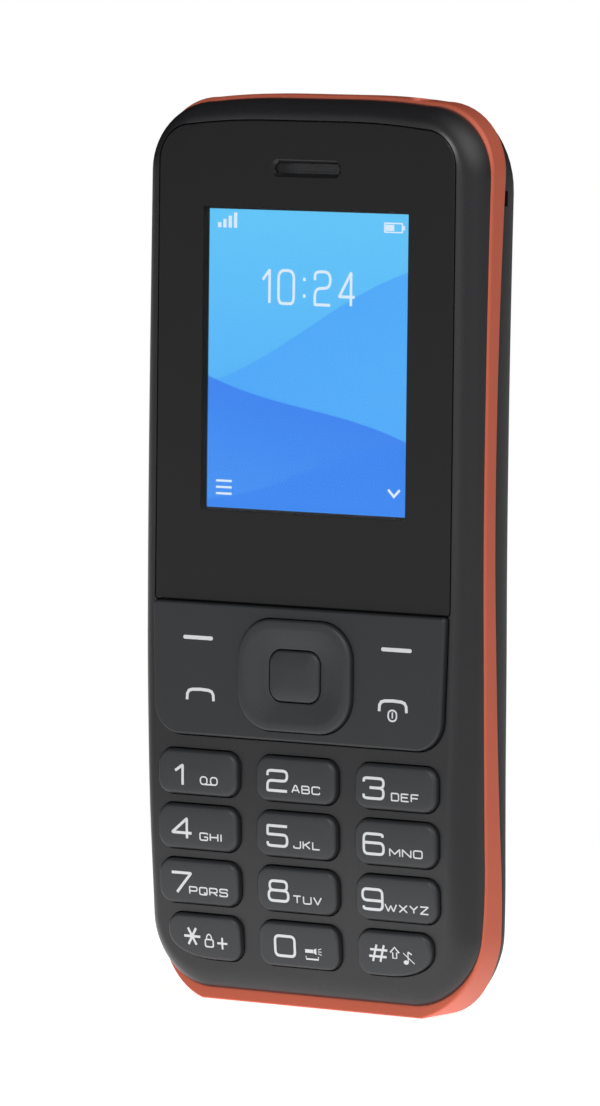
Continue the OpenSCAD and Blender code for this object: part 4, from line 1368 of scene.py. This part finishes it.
@dataclass
class Lettering:
    """Thin printed signs that follow a surface; gap is a share of the letters' height."""

    surface: Callable[[float, float], float]
    thickness: float = 0.03
    lift: float = 0.012
    step: float = 0.0015
    gap: float = 0.22
    bm: Mesh = field(default_factory=bmesh.new)

    def join(self, part: Mesh) -> None:
        """Give a flat mesh its thickness on the surface and add it, a hair above the last one.

        Args:
            part: Flat mesh in millimetres, freed here.
        """
        bmesh.ops.triangulate(part, faces=part.faces)
        bmesh.ops.recalc_face_normals(part, faces=part.faces)
        grown = bmesh.ops.extrude_face_region(part, geom=part.faces[:])
        moved = {g for g in grown["geom"] if isinstance(g, bmesh.types.BMVert)}
        self.lift += self.step
        for v in part.verts:
            back = self.thickness - self.lift if v in moved else -self.lift
            v.co = FORM.point(v.co.x, self.surface(v.co.x, v.co.z) + back, v.co.z)
        turn_outwards(part, part.faces[:])
        mesh = bpy.data.meshes.new("sign")
        part.to_mesh(mesh)
        part.free()
        self.bm.from_mesh(mesh)
        bpy.data.meshes.remove(mesh)

    def text(self, words: str, x: float, z: float, w: float, h: float, line: float) -> None:
        """Add plain stroke letters or digits that fill a box.

        Args:
            words: Letters and digits.
            x: Middle of the box.
            z: Middle height of the box.
            w: Width of the box.
            h: Height of the box.
            line: Width of the strokes.
        """
        gap = line + self.gap * h
        shares = [WIDTHS.get(letter, 1.0) for letter in words]
        unit = (w - line - gap * (len(words) - 1)) / sum(shares)
        left = x - w / 2 + line / 2
        for letter, share in zip(words, shares):
            for stroke in STROKES[letter]:
                corners = [
                    (left + p[0] * unit * share, z + (p[1] - 0.5) * (h - line), *p[2:]) for p in stroke]
                self.bow(softened(corners, self.gap * h, line), line)
            left += unit * share + gap

    def polygon(self, points: Sequence[Point]) -> None:
        """Add a filled shape.

        Args:
            points: Its corners, in millimetres.
        """
        part = bmesh.new()
        verts = add_ring(part, [Vector((x, 0, z)) for x, z in points])
        bmesh.ops.contextual_create(part, geom=ring_edges(part, verts))
        self.join(part)

    def bar(self, x: float, z: float, w: float, h: float, turn: float = 0.0) -> None:
        """Add a bar, turned by degrees."""
        c, s = math.cos(math.radians(turn)) * w / 2, math.sin(math.radians(turn)) * w / 2
        self.bow(softened([(x - c, z - s), (x + c, z + s)], 0, h), h)

    def star(self, x: float, z: float, w: float, h: float, turns: Sequence[float]) -> None:
        """Add bars that cross in one place."""
        for turn in turns:
            self.bar(x, z, w, h, turn)

    def frame(self, x: float, z: float, w: float, h: float, line: float, r: float = 0.12) -> None:
        """Add the outline of a box with round corners.

        Args:
            x: Middle of the box.
            z: Middle height of the box.
            w: Width of the box.
            h: Height of the box.
            line: Width of the stroke.
            r: Radius of the corners.
        """
        part = bmesh.new()
        rows = []
        for inset in (0, line):
            points = pill(w - 2 * inset, h - 2 * inset, even(r - inset), x, z, 6)
            rows += ring_edges(part, add_ring(part, [Vector((a, 0, b)) for a, b in points]))
        bmesh.ops.bridge_loops(part, edges=rows)
        self.join(part)

    def bow(self, points: Sequence[Point], line: float) -> None:
        """Add a bent stroke of even width.

        Args:
            points: Points along the stroke.
            line: Width of the stroke.
        """
        part = bmesh.new()
        rows: list[Vertices] = [[], []]
        for k, (x, z) in enumerate(points):
            ax, az = points[max(k - 1, 0)]
            bx, bz = points[min(k + 1, len(points) - 1)]
            length = math.hypot(bx - ax, bz - az)
            reach = line / 2 / self.mitre((ax, az), (x, z), (bx, bz))
            nx, nz = -(bz - az) / length * reach, (bx - ax) / length * reach
            rows[0].append(part.verts.new((x + nx, 0, z + nz)))
            rows[1].append(part.verts.new((x - nx, 0, z - nz)))
        for row in rows:
            for pair in zip(row, row[1:]):
                part.edges.new(pair)
        bmesh.ops.bridge_loops(part, edges=part.edges[:])
        self.join(part)

    @staticmethod
    def mitre(a: Point, b: Point, c: Point) -> float:
        """Share of a stroke's width that is left across a bend.

        Args:
            a: Point before the bend.
            b: The bend.
            c: Point after the bend.

        Returns:
            A share that is never less than LEAST_MITRE.
        """
        first, second = Vector(b) - Vector(a), Vector(c) - Vector(b)
        if first.length < 1e-6 or second.length < 1e-6:
            return 1.0
        return max(math.cos(first.angle(second) / 2), LEAST_MITRE)

    def piece(self, name: str, finish: Surface) -> Piece:
        """Close the signs into one piece."""
        smooth_by_angle(self.bm, SIGN_SHARP)
        return new_piece(name, self.bm, finish)


# Keys


@dataclass(frozen=True)
class Print:
    """Places of a key's digit and letters from its middle, and the letters' width."""

    digit_x: float
    letters: str
    letters_x: float
    letters_w: float


@dataclass
class NumberKeys:
    """Twelve pillowed number keys with printed signs; a sign's place is measured from its key's middle."""

    proud: float = 0.85
    edge: float = 0.45
    edge_steps: int = 7
    crown: float = 0.12
    crown_insets: tuple[float, ...] = (2.35, 1.9, 1.4, 1.0)
    flange: float = 0.38
    flange_t: float = 0.25
    flange_gap: float = 0.05
    post: Point = (4.0, 2.6)
    post_end: float = 2.887
    digit: Point = (3.1, 2.68)
    digit_z: float = -0.18
    digit_line: float = 0.33
    letters_z: float = -1.0
    letters_h: float = 1.0
    letters_line: float = 0.165
    prints: dict[str, Print] = field(default_factory=lambda: {
        "2": Print(-2.4, "ABC", 1.6, 4.0), "3": Print(-2.8, "DEF", 1.55, 3.85),
        "4": Print(-2.1, "GHI", 2.0, 3.2), "5": Print(-2.4, "JKL", 1.7, 3.75),
        "6": Print(-2.8, "MNO", 1.65, 4.6), "7": Print(-2.3, "PQRS", 1.5, 5.5),
        "8": Print(-2.4, "TUV", 1.65, 4.05), "9": Print(-3.1, "WXYZ", 1.6, 6.1),
    })
    one: tuple[float, float, float] = (-2.5, -0.36, 1.4)
    mail: Point = (1.77, -0.85)
    star: tuple[float, float, float, float] = (-1.55, 0.0, 2.3, 0.3)
    lock: Point = (0.86, -0.66)
    plus: tuple[float, float, float, float] = (2.7, -0.57, 1.4, 0.24)
    zero: Point = (-1.75, -0.17)
    torch: Point = (2.14, -0.7)
    hash: tuple[float, float, float, float] = (-2.04, 0.02, 2.85, 2.25)
    hash_line: float = 0.27
    arrow: Point = (0.26, 0.2)
    note: Point = (2.1, -0.24)

    def top(self, col: int, row: int) -> Callable[[float, float], float]:
        """Crowned face of a key.

        Args:
            col: Column from the left.
            row: Row from the top.

        Returns:
            Depth of the face at X and Z.
        """
        cx, cz = PAD.centre(col, row)
        w, h = PAD.width(col, row), PAD.key_h

        def depth(x: float, z: float) -> float:
            """Depth at one point of the face."""
            u, v = min(abs(x - cx) * 2 / w, 1), min(abs(z - cz) * 2 / h, 1)
            return FORM.front(z) - self.proud - self.crown * (1 - u * u) * (1 - v * v)
        return depth

    def base(self, row: int) -> float:
        """Depth of the flange's front face."""
        z = PAD.first_z - row * PAD.pitch_z - PAD.key_h / 2 - self.flange
        return FORM.front(z) + FORM.wall + self.flange_gap

    def build_cap(self, name: str, col: int, row: int) -> None:
        """Build one key with its flange and post.

        Args:
            name: Name of the key.
            col: Column from the left.
            row: Row from the top.
        """
        face = self.top(col, row)
        bm = bmesh.new()
        edge = [(self.edge * a, self.edge * b) for a, b in quarter(self.edge_steps)]
        rings: list[Ring] = []
        for inset, drop in [(inset, 0) for inset in self.crown_insets] + edge:
            points = PAD.outline(col, row, -inset)
            rings.append([FORM.point(x, face(x, z) + drop, z) for x, z in points])
        base, back = self.base(row), self.base(row) + self.flange_t
        foot = ((0, base), (self.flange, base + STEP), (self.flange, back))
        loft(bm, rings + stack(lambda grow: PAD.outline(col, row, grow), foot))
        x, z = PAD.centre(col, row)
        w, h = self.post
        size = Vector((w, self.post_end - back, h)) * MM
        add_box(bm, size, FORM.point(x, (back + self.post_end) / 2, z))
        finish_mesh(bm, KEY_SHARP)
        place(new_piece(f"keytop_{name}", bm, KEYS), f"key_{name}", "keys_grey", f"key_{name}")

    def build_sign(self, name: str, col: int, row: int) -> None:
        """Build the digit and small signs of one key.

        Args:
            name: Name of the key.
            col: Column from the left.
            row: Row from the top.
        """
        signs = Lettering(self.top(col, row))
        x, z = PAD.centre(col, row)
        w, h = self.digit
        if name in self.prints:
            marks = self.prints[name]
            signs.text(name, x + marks.digit_x, z + self.digit_z, w, h, self.digit_line)
            signs.text(marks.letters, x + marks.letters_x, z + self.letters_z, marks.letters_w,
                       self.letters_h, self.letters_line)
        elif name == "1":
            signs.text("1", x + self.one[0], z + self.one[1], self.one[2], h, self.digit_line)
            self.mail_sign(signs, x + self.mail[0], z + self.mail[1])
        elif name == "star":
            signs.star(x + self.star[0], z + self.star[1], *self.star[2:], (0, 60, 120))
            self.lock_sign(signs, x + self.lock[0], z + self.lock[1])
            signs.star(x + self.plus[0], z + self.plus[1], *self.plus[2:], (0, 90))
        elif name == "0":
            signs.text("0", x + self.zero[0], z + self.zero[1], w, h, self.digit_line)
            self.torch_sign(signs, x + self.torch[0], z + self.torch[1])
        else:
            signs.text("#", x + self.hash[0], z + self.hash[1], *self.hash[2:], self.hash_line)
            self.arrow_sign(signs, x + self.arrow[0], z + self.arrow[1])
            self.note_sign(signs, x + self.note[0], z + self.note[1])
        place(signs.piece(f"sign_{name}", LEGEND), f"key_{name}", None)

    @staticmethod
    def mail_sign(signs: Lettering, x: float, z: float) -> None:
        """Add two small reels on a line.

        Args:
            signs: Signs of the key.
            x: Middle of the sign.
            z: Middle height of the sign.
        """
        for side in (-0.72, 0.72):
            signs.frame(x + side, z, 1.1, 1.05, 0.17, 0.45)
        signs.bar(x, z - 0.44, 1.5, 0.17)

    @staticmethod
    def lock_sign(signs: Lettering, x: float, z: float) -> None:
        """Add a small padlock."""
        signs.frame(x, z, 1.3, 1.05, 0.18, 0.3)
        signs.bow(arc_points(x, z + 0.5, 0.36, 0.56, math.pi, 8), 0.16)

    @staticmethod
    def torch_sign(signs: Lettering, x: float, z: float) -> None:
        """Add a small torch with three rays over a tray.

        Args:
            signs: Signs of the key.
            x: Middle of the sign.
            z: Middle height of the sign.
        """
        signs.bar(x - 0.5, z + 0.2, 1.1, 0.42)
        signs.polygon([(x + 0.12, z), (x + 0.5, z - 0.18), (x + 0.5, z + 0.58), (x + 0.12, z + 0.4)])
        for lift in (-0.1, 0.2, 0.5):
            signs.bar(x + 0.98, z + lift, 0.5, 0.09, (lift - 0.2) * 60)
        tray = [(-0.95, -0.4), (-0.95, -0.75), (0.75, -0.75), (0.75, -0.4)]
        signs.bow([(x + a, z + b) for a, b in tray], 0.14)

    @staticmethod
    def arrow_sign(signs: Lettering, x: float, z: float) -> None:
        """Add a small upward arrow.

        Args:
            signs: Signs of the key.
            x: Middle of the sign.
            z: Middle height of the sign.
        """
        half = [(0, -0.6), (0.27, -0.6), (0.27, 0.05), (0.62, 0.05)]
        outline = half + [(0, 0.68)] + [(-a, b) for a, b in reversed(half)]
        signs.bow([(x + a, z + b) for a, b in outline], 0.12)

    @staticmethod
    def note_sign(signs: Lettering, x: float, z: float) -> None:
        """Add a small struck-out note.

        Args:
            signs: Signs of the key.
            x: Middle of the sign.
            z: Middle height of the sign.
        """
        signs.polygon(arc_points(x - 0.3, z - 0.55, 0.34, 0.26, math.tau, 14)[:-1])
        signs.bar(x, z + 0.05, 1.3, 0.13, 90)
        signs.bar(x + 0.26, z + 0.56, 0.6, 0.16, -28)
        signs.bar(x + 0.1, z - 0.05, 1.9, 0.11, -38)

    def build(self) -> None:
        """Build every key and its signs."""
        for key in PAD.keys():
            self.build_cap(*key)
            self.build_sign(*key)


@dataclass
class FunctionKeys:
    """Soft-key plate, four-way ring and centre key; a profile holds insets and depths."""

    hw: float = 20.45
    corner: Point = (3.5, 0.5)
    taper: float = 0.5
    proud: float = 0.8
    plate_t: float = 1.6
    plate_edge: float = 0.3
    plate_posts: Point = (14.0, 4.0)
    post_r: float = 0.9
    post_sink: float = 0.05
    hole_rim: float = 0.03
    pad_z: float = 39.325
    pad: tuple[float, float, float] = (15.8, 13.1, 4.5)
    pad_steps: int = 12
    pad_profile: Profile = (
        (0, -1.14), (0.03, -1.28), (0.09, -1.38), (0.19, -1.445), (0.33, -1.47), (0.6, -1.485),
        (0.95, -1.5), (1.1, -1.484), (1.3, -1.45), (2.0, -1.34), (2.6, -1.22), (3.2, -1.1),
    )
    hole_profile: Profile = ((-0.1, -1.08), (-0.03, -1.05), (0, -0.97))
    flange: Point = (1.4, 0.6)
    flange_t: float = 0.35
    flange_hole: tuple[float, float, float] = (0.1, 3.4, 1.0)
    pad_posts: Point = (1.4, 1.2)
    pad_post_r: float = 0.8
    ok: tuple[float, float, float] = (7.0, 6.0, 1.6)
    ok_profile: Profile = ((2.4, 0.0), (1.9, 0.02), (1.4, 0.05), (0.9, 0.1), (0.55, 0.15), (0.34, 0.19))
    ok_flange: Profile = ((0.0, 2.45), (-0.45, 2.46), (-0.45, 2.75))
    gap: float = 0.13
    raised: float = 1.5
    skirt: float = 1.65
    post_end: float = 2.887
    dashes: tuple[Point, ...] = ((-13.9, 43.1), (13.9, 43.2))
    dash: tuple[float, float, float] = (4.2, 0.46, 0.22)
    calls: tuple[Point, ...] = ((-13.5, 36.35), (13.5, 36.6))
    call: Profile = ((-1.88, -0.62), (-1.84, 0.1), (-1.62, 0.46), (-1.15, 0.62))
    call_top: float = 0.68
    call_line: float = 0.37
    power: tuple[float, float, float, float] = (13.45, 35.55, 1.35, 1.45)
    power_line: float = 0.2
    power_r: float = 0.62
    power_bar: tuple[float, float, float, float] = (13.45, 35.6, 0.18, 0.7)

    def plate(self, grow: float) -> list[Point]:
        """Outline of the plate, which narrows towards its foot.

        Args:
            grow: How far it is grown all round.

        Returns:
            X and Z of the outline.
        """
        foot, top = PLATE_LOW[2], PLATE_HIGH[2]
        low, high = self.corner
        points = FORM.outline(self.hw + grow, foot - grow, top + grow, low + grow, high + grow, 0)
        return [(x * (1 - self.taper / self.hw * (top - z) / (top - foot)), z) for x, z in points]

    def rounded(self, w: float, h: float, r: float) -> list[Point]:
        """Rounded rectangle round the centre key's middle."""
        return pill(w, h, even(r), 0, self.pad_z, self.pad_steps)

    def ring_outline(self, inset: float) -> list[Point]:
        """Outline of the four-way ring."""
        w, h, r = self.pad
        return self.rounded(w - 2 * inset, h - 2 * inset, r - inset / 2)

    def ok_outline(self, inset: float) -> list[Point]:
        """Outline of the centre key."""
        w, h, r = self.ok
        return self.rounded(w - 2 * inset, h - 2 * inset, max(r - inset * 0.8, 0.2))

    def hole_outline(self, inset: float) -> list[Point]:
        """Outline of the centre key's hole in the ring.

        Args:
            inset: How far it is narrowed all round.

        Returns:
            X and Z of the outline.
        """
        w, h, r = self.ok
        grow = self.gap - inset
        return self.rounded(w + 2 * grow, h + 2 * grow, r + grow)

    def build_plate(self) -> None:
        """Plate with soft edges, the ring's hole and posts."""
        bm = bmesh.new()
        edge, back = self.plate_edge, self.plate_t - self.proud
        profile = [(-edge * a, edge * b - self.proud) for a, b in quarter(5)]
        loft(bm, stack(self.plate, profile + [(0, back)]), Cap.LADDER)
        finish_mesh(bm)
        plate = new_piece("soft_key_plate", bm, PLATE)
        carve(plate, PLATE, ring_hole=lambda b: flared(
            b, lambda g: self.ring_outline(-self.gap - g), at(self.skirt + OVER), self.hole_rim,
            lambda d: at(d - self.proud)))
        x, z = self.plate_posts
        with editing(plate) as bm:
            for place_at in ((-x, -z), (-x, z), (x, -z), (x, z)):
                self.add_post(bm, *place_at, back, self.post_r)
        reshade(plate)
        place(plate, "plate", "keys_grey", "function_plate")

    def add_post(self, bm: Mesh, x: float, z: float, face: float, radius: float) -> None:
        """Add a round post that runs back to the keymat.

        Args:
            bm: Mesh that gets the post.
            x: Place across.
            z: Height above the centre key's middle.
            face: Depth of the face that it grows from.
            radius: Radius of the post.
        """
        start, r = face - self.post_sink, radius * MM
        length = self.post_end - start
        verts = bmesh.ops.create_cone(
            bm, cap_ends=True, segments=24, radius1=r, radius2=r, depth=length * MM)["verts"]
        bmesh.ops.rotate(bm, matrix=UPRIGHT, verts=verts)
        bmesh.ops.translate(bm, vec=FORM.point(x, start + length / 2, self.pad_z + z), verts=verts)

    def build_ring(self) -> None:
        """Four-way ring with a soft shoulder, a dished middle, a flange and posts."""
        bm = bmesh.new()
        rings = stack(self.ring_outline, ((0, self.skirt), *self.pad_profile))
        rings += stack(self.hole_outline, (*self.hole_profile, (0, self.skirt)))
        loft(bm, rings, Cap.JOINED)
        finish_mesh(bm, KEY_SHARP)
        w, h, r = self.pad
        outer = self.rounded(w + self.flange[0], h + self.flange[1], r)
        wider, higher, hole_r = self.flange_hole
        inner = self.rounded(self.ok[0] + 2 * self.gap + wider, self.ok[1] + 2 * self.gap + higher, hole_r)
        front, back = self.skirt, self.skirt + self.flange_t
        loft(bm, [FORM.ring(points, at(depth)) for points, depth in (
            (inner, front + STEP), (outer, front), (outer, back), (inner, back - STEP))], Cap.JOINED)
        x, z = w / 2 - self.pad_posts[0], h / 2 - self.pad_posts[1]
        for place_at in ((0, z), (0, -z), (x, 0), (-x, 0)):
            self.add_post(bm, *place_at, back, self.pad_post_r)
        smooth_by_angle(bm, KEY_SHARP)
        place(new_piece("four_way_ring", bm, KEYS), "pad", "keys_grey", "dpad_ring")

    def build_ok(self) -> None:
        """Centre key with a shallow dome."""
        bm = bmesh.new()
        inset, drop = self.ok_profile[-1]
        edge = [(inset * a, drop + inset * b) for a, b in quarter(6, 1)]
        face = [(size, depth - self.raised) for size, depth in (*self.ok_profile, *edge)]
        loft(bm, stack(self.ok_outline, face + list(self.ok_flange)))
        self.add_post(bm, 0, 0, self.ok_flange[-1][1], self.post_r)
        finish_mesh(bm, KEY_SHARP)
        place(new_piece("centre_key", bm, KEYS), "ok_key", "keys_grey", "ok_key")

    def build_signs(self) -> None:
        """Soft-key dashes and plain call signs."""
        signs = Lettering(lambda x, z: -self.proud)
        w, h, r = self.dash
        for x, z in self.dashes:
            signs.polygon(pill(w, h, even(r), x, z))
        bow = [*self.call, (0, self.call_top)] + [(-a, b) for a, b in reversed(self.call)]
        for x, z in self.calls:
            signs.bow([(x + a, z + b) for a, b in bow], self.call_line)
        signs.frame(*self.power, self.power_line, self.power_r)
        signs.bar(*self.power_bar)
        place(signs.piece("sign_plate", LEGEND), "plate", None)

    def build(self) -> None:
        """Build the function keys."""
        for build in (self.build_plate, self.build_ring, self.build_ok, self.build_signs):
            build()


FUNCTIONS = FunctionKeys()
FRONT = FrontShell()


# Band, cover and battery


@dataclass
class Band:
    """Coral band between the shell and the cover; a port's sizes are X, depth, width and height."""

    edge: float = 0.42
    edge_share: float = 0.6
    jack: tuple[float, float, float, float] = (8.0, 7.638, 4.0, 4.0)
    jack_rim: float = 0.25
    usb: tuple[float, float, float, float] = (-8.0, 7.538, 7.4, 2.3)
    usb_rim: float = 0.2
    microphone: tuple[float, float, float, float] = (0.0, 7.538, 1.0, 1.0)
    port_h: float = 2.6
    torch: tuple[float, float, float, float] = (12.55, 5.5, 2.4, 2.4)
    torch_steps: Profile = ((0, -8), (0, -0.6), (0.12, -0.5), (0.2, -0.2), (0.4, 0.2), (0.9, 1.2))

    def build(self) -> None:
        """Build the band with rounded edges and its openings."""
        bm = bmesh.new()
        edge = [(FORM.band(self.edge * self.edge_share * a), self.edge * b) for a, b in quarter(6, 1)]
        rows = [FORM.ring(FORM.shell(FORM.tuck), band_front(FORM.seam))]
        rows += [FORM.ring(points, band_front(FORM.seam + depth)) for points, depth in edge]
        rows += [FORM.ring(points, band_rear(-depth)) for points, depth in reversed(edge)]
        rows.append(FORM.ring(FORM.cover(FORM.tuck), band_rear(0)))
        rows += [FORM.ring(FORM.opening(), depth) for depth in (band_rear(0), band_front(FORM.seam))]
        loft(bm, rows, Cap.JOINED)
        finish_mesh(bm)
        band = new_piece("coral_band", bm, BAND)
        carve(band, BAND, ports=self.cut_ports, torch=self.cut_torch)
        reshade(band)
        place(band, "phone", "band_coral", "mid_band")

    def cut_ports(self, bm: Mesh) -> None:
        """Add cutters for the two sockets and the microphone.

        Args:
            bm: Mesh that gets the cutter.
        """
        for port, rim in ((self.jack, self.jack_rim), (self.usb, self.usb_rim)):
            self.upright(bm, port, ((rim, -OVER), (rim, 0), (0, rim), (0, self.port_h)))
        self.upright(bm, self.microphone, ((0, -OVER), (0, self.port_h)))

    def cut_torch(self, bm: Mesh) -> None:
        """Add the torch's dip and hole in the top edge."""
        top = FORM.top - FORM.arch
        self.upright(bm, self.torch, [(grow, top + z) for grow, z in self.torch_steps])

    @staticmethod
    def upright(bm: Mesh, port: tuple[float, float, float, float], steps: Profile) -> None:
        """Add a cutter that runs along Z.

        Args:
            bm: Mesh that gets the cutter.
            port: X, depth, width and height of its outline.
            steps: Growth and height of each ring.
        """
        cx, cd, w, h = port
        rings = []
        for grow, z in steps:
            ring = []
            for x, d in stadium(w, h, 0, 0):
                away = Vector((x, d))
                away = away + away.normalized() * grow
                ring.append(FORM.point(cx + away.x, cd + away.y, z))
            rings.append(ring)
        loft(bm, rings)


@dataclass
class BackCover:
    """Lift-off back cover with a loudspeaker grille and a pry notch."""

    wall: float = 1.0
    bowl_r: float = 5.0
    corner: float = 3.2
    edge: Profile = ((0.22, 0.0), (0.06, 0.05), (0.0, 0.2))
    outer_steps: int = 14
    inner_steps: int = 10
    speaker: Point = (-8.15, 91.1)
    slots: int = 5
    slot: Point = (9.0, 0.9)
    slot_pitch: float = 1.8
    slot_steps: Profile = ((0, 10.8), (0, 12.4), (0.08, 12.56), (0.2, 12.62), (0.2, 13.2))
    notch: tuple[float, float, float] = (95.45, 1.8, 0.9)
    notch_w: float = 3.0

    def rings(self, inset: float, back: float, steps: int) -> list[Ring]:
        """Rings of the cover's bowl from its edge to its back.

        Args:
            inset: How far the bowl lies inside the cover's outline.
            back: Depth of the bowl's back.
            steps: Steps in its round edge.

        Returns:
            Rings from front to back.
        """
        made = []
        for a, b in quarter(steps):
            share = 1 - a
            out = FORM.cover(inset + self.bowl_r * b, self.corner * share)
            made.append(FORM.ring(out, lambda z, s=share: self.depth(z, s, back)))
        return made

    @staticmethod
    def depth(z: float, share: float, back: float) -> float:
        """Depth of the bowl at a share of its height."""
        start = FORM.band_rear(z) + FORM.seam
        return start + (back - start) * share

    def build(self) -> None:
        """Build the cover."""
        bm = bmesh.new()
        edge = stack(FORM.cover, self.edge, lambda depth: band_rear(FORM.seam + depth))
        loft(bm, edge + self.rings(0, FORM.body_t, self.outer_steps)[1:], Cap.LADDER)
        finish_mesh(bm)
        cover = new_piece("back_cover", bm, COVER)
        carve(cover, COVER, hollow=self.cut_hollow, grille=self.cut_grille, notch=self.cut_notch)
        reshade(cover)
        place(cover, "cover", "shell_black", "battery_cover")

    def cut_hollow(self, bm: Mesh) -> None:
        """Add the space inside the cover."""
        mouth = FORM.ring(FORM.cover(self.wall), band_rear(-OVER))
        loft(bm, [mouth] + self.rings(self.wall, FORM.body_t - self.wall, self.inner_steps), Cap.LADDER)

    def cut_grille(self, bm: Mesh) -> None:
        """Add a row of soft-edged slots, the longest in the middle.

        Args:
            bm: Mesh that gets the cutter.
        """
        x, z = self.speaker
        for k in range(self.slots):
            row = k - self.slots // 2
            w, h = self.slot[0] - abs(row), self.slot[1]
            up = z + self.slot_pitch * row
            loft(bm, stack(lambda g: stadium(w + 2 * g, h + 2 * g, x, up), self.slot_steps))

    def cut_notch(self, bm: Mesh) -> None:
        """Add the pry notch's cutter on the right edge.

        Args:
            bm: Mesh that gets the cutter.
        """
        z, h, depth = self.notch
        middle = FORM.band_rear(z) + FORM.seam + (depth - OVER) / 2
        add_box(bm, Vector((self.notch_w, depth + OVER, h)) * MM, FORM.point(FORM.shell_hw, middle, z))


@dataclass
class BatteryPack:
    """Wrapped battery with a moulded cap and its contact pads."""

    edge: float = 0.9
    cap_h: float = 4.0
    pads: int = 3
    pitch: float = 3.0
    pad: tuple[float, float, float] = (1.6, 2.0, 0.12)
    pad_shift: tuple[float, float] = (-0.3, -0.055)

    def build(self) -> None:
        """Build the battery in the CAD solid's space."""
        low, high = (Vector(v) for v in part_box("battery"))
        middle = (high + low) / 2
        cap = high.z - self.cap_h * MM
        bm = bmesh.new()
        add_box(bm, high - low, middle)
        round_edges(bm, self.edge, 5)
        slice_mesh(bm, Z_AXIS, cap)
        finish_mesh(bm)
        for face in bm.faces:
            face.material_index = int(face.calc_center_median().z > cap)
        y, z = self.pad_shift
        for k in range(self.pads):
            x = (k - (self.pads - 1) / 2) * self.pitch
            spot = Vector((0, middle.y, high.z)) + Vector((x, y, z)) * MM
            pad = add_box(bm, Vector(self.pad) * MM, spot)
            for face in {f for v in pad for f in v.link_faces}:
                face.material_index = 2
        pack = new_piece("battery_pack", bm, BATTERY_WRAP, BATTERY_CAP, GOLD)
        place(pack, "battery", "battery", "battery")


class Inside:
    """CAD solids that stay, each with the finish of its slot."""

    def dress(self) -> None:
        """Give every CAD node its finish."""
        slots = {entry["node"]: entry["material_slot"] for entry in frame["record"]["subparts"]}
        for name, node in frame["nodes"].items():
            node.data.materials.clear()
            node.data.materials.append(SLOT_FINISHES[slots[name]].material())


# Studio


@dataclass
class Studio:
    """Pale floor, soft lights and the camera; a glow is a way and a strength."""

    picture: tuple[int, int] = (600, 1106)
    focal_px: float = 8128.82
    sensor: float = 36.0
    clip: Point = (0.05, 20.0)
    target: tuple[float, float, float] = (-1.687, -3.299, 53.512)
    distance: float = 950.0
    azimuth: float = 33.6874
    elevation: float = 4.1994
    roll: float = 0.6575
    glows: tuple[tuple[float, float, float, float], ...] = (
        (0.0, -1.0, 0.1, 1.2), (0.75, -0.1, 0.66, 1.9), (0.6, 0.4, 0.69, 0.4),
    )
    focus: float = 6.0
    floor_r: float = 3.0
    key_aim: tuple[float, float, float] = (0.0, 0.0, 0.06)
    key_way: tuple[float, float, float] = (0.09, -1.06, 0.55)
    key_size: float = 0.25
    key_watts: float = 2.8

    def build_camera(self) -> None:
        """Camera at the photograph's place."""
        data = bpy.data.cameras.new("camera")
        data.sensor_fit = "VERTICAL"
        data.sensor_height = self.sensor
        data.lens = self.sensor * self.focal_px / self.picture[1]
        data.clip_start, data.clip_end = self.clip
        camera = bpy.data.objects.new("camera", data)
        camera.matrix_world = Matrix.Translation(Vector(self.target) * MM)
        for angle, axis in ((self.azimuth, "Z"), (90 - self.elevation, "X"), (self.roll, "Z")):
            camera.matrix_world = camera.matrix_world @ Matrix.Rotation(math.radians(angle), 4, axis)
        camera.matrix_world = camera.matrix_world @ Matrix.Translation(Z_AXIS * self.distance * MM)
        show(camera)
        bpy.context.scene.camera = camera

    def build_floor(self) -> None:
        """Round floor under the phone."""
        bm = bmesh.new()
        bmesh.ops.create_circle(bm, cap_ends=True, segments=64, radius=self.floor_r)
        floor = new_piece("floor", bm, FloorFinish())

    def build_world(self) -> None:
        """White surround with soft glows in front, on the right and behind."""
        world = bpy.data.worlds.new("surround")
        world.use_nodes = True
        bpy.context.scene.world = world
        tree = Tree(world.node_tree)
        lit = tree.data.nodes["Background"]
        ray = tree.where("Generated")
        total: object = 0.0
        for *way, strength in self.glows:
            facing = tree.vector("DOT_PRODUCT", ray, Vector(way).normalized())
            spot = tree.math("POWER", tree.math("MAXIMUM", facing, 0.0), self.focus)
            total = tree.math("MULTIPLY_ADD", spot, strength, total)
        tree.feed(lit, {"Color": WHITE, "Strength": total})
        white = tree.add("ShaderNodeBackground", {"Color": WHITE, "Strength": 1.0})
        shown = {0: tree.camera_ray(), 1: lit.outputs[0], 2: white.outputs[0]}
        both = tree.add("ShaderNodeMixShader", shown)
        tree.feed(tree.data.nodes["World Output"], {"Surface": both.outputs[0]})

    def build_key_light(self) -> None:
        """Square soft light ahead of the phone and above it."""
        data = bpy.data.lights.new("key_light", "AREA")
        data.size, data.energy = self.key_size, self.key_watts
        lamp = bpy.data.objects.new("key_light", data)
        way = Vector(self.key_way)
        turn = (-way).to_track_quat("-Z", "Y").to_matrix().to_4x4()
        lamp.matrix_world = Matrix.Translation(Vector(self.key_aim) + way) @ turn
        show(lamp)

    def build(self) -> None:
        """Build the whole set."""
        for build in (self.build_camera, self.build_floor, self.build_world, self.build_key_light):
            build()
        bpy.context.scene.view_settings.view_transform = "Standard"


def main() -> None:
    logging.basicConfig(level=logging.INFO, format="%(name)s: %(message)s")
    Studio().build()
    Inside().dress()
    FRONT.build()
    Display().build()
    FUNCTIONS.build()
    NumberKeys().build()
    Band().build()
    BackCover().build()
    BatteryPack().build()


if __name__ == "__main__":
    main()
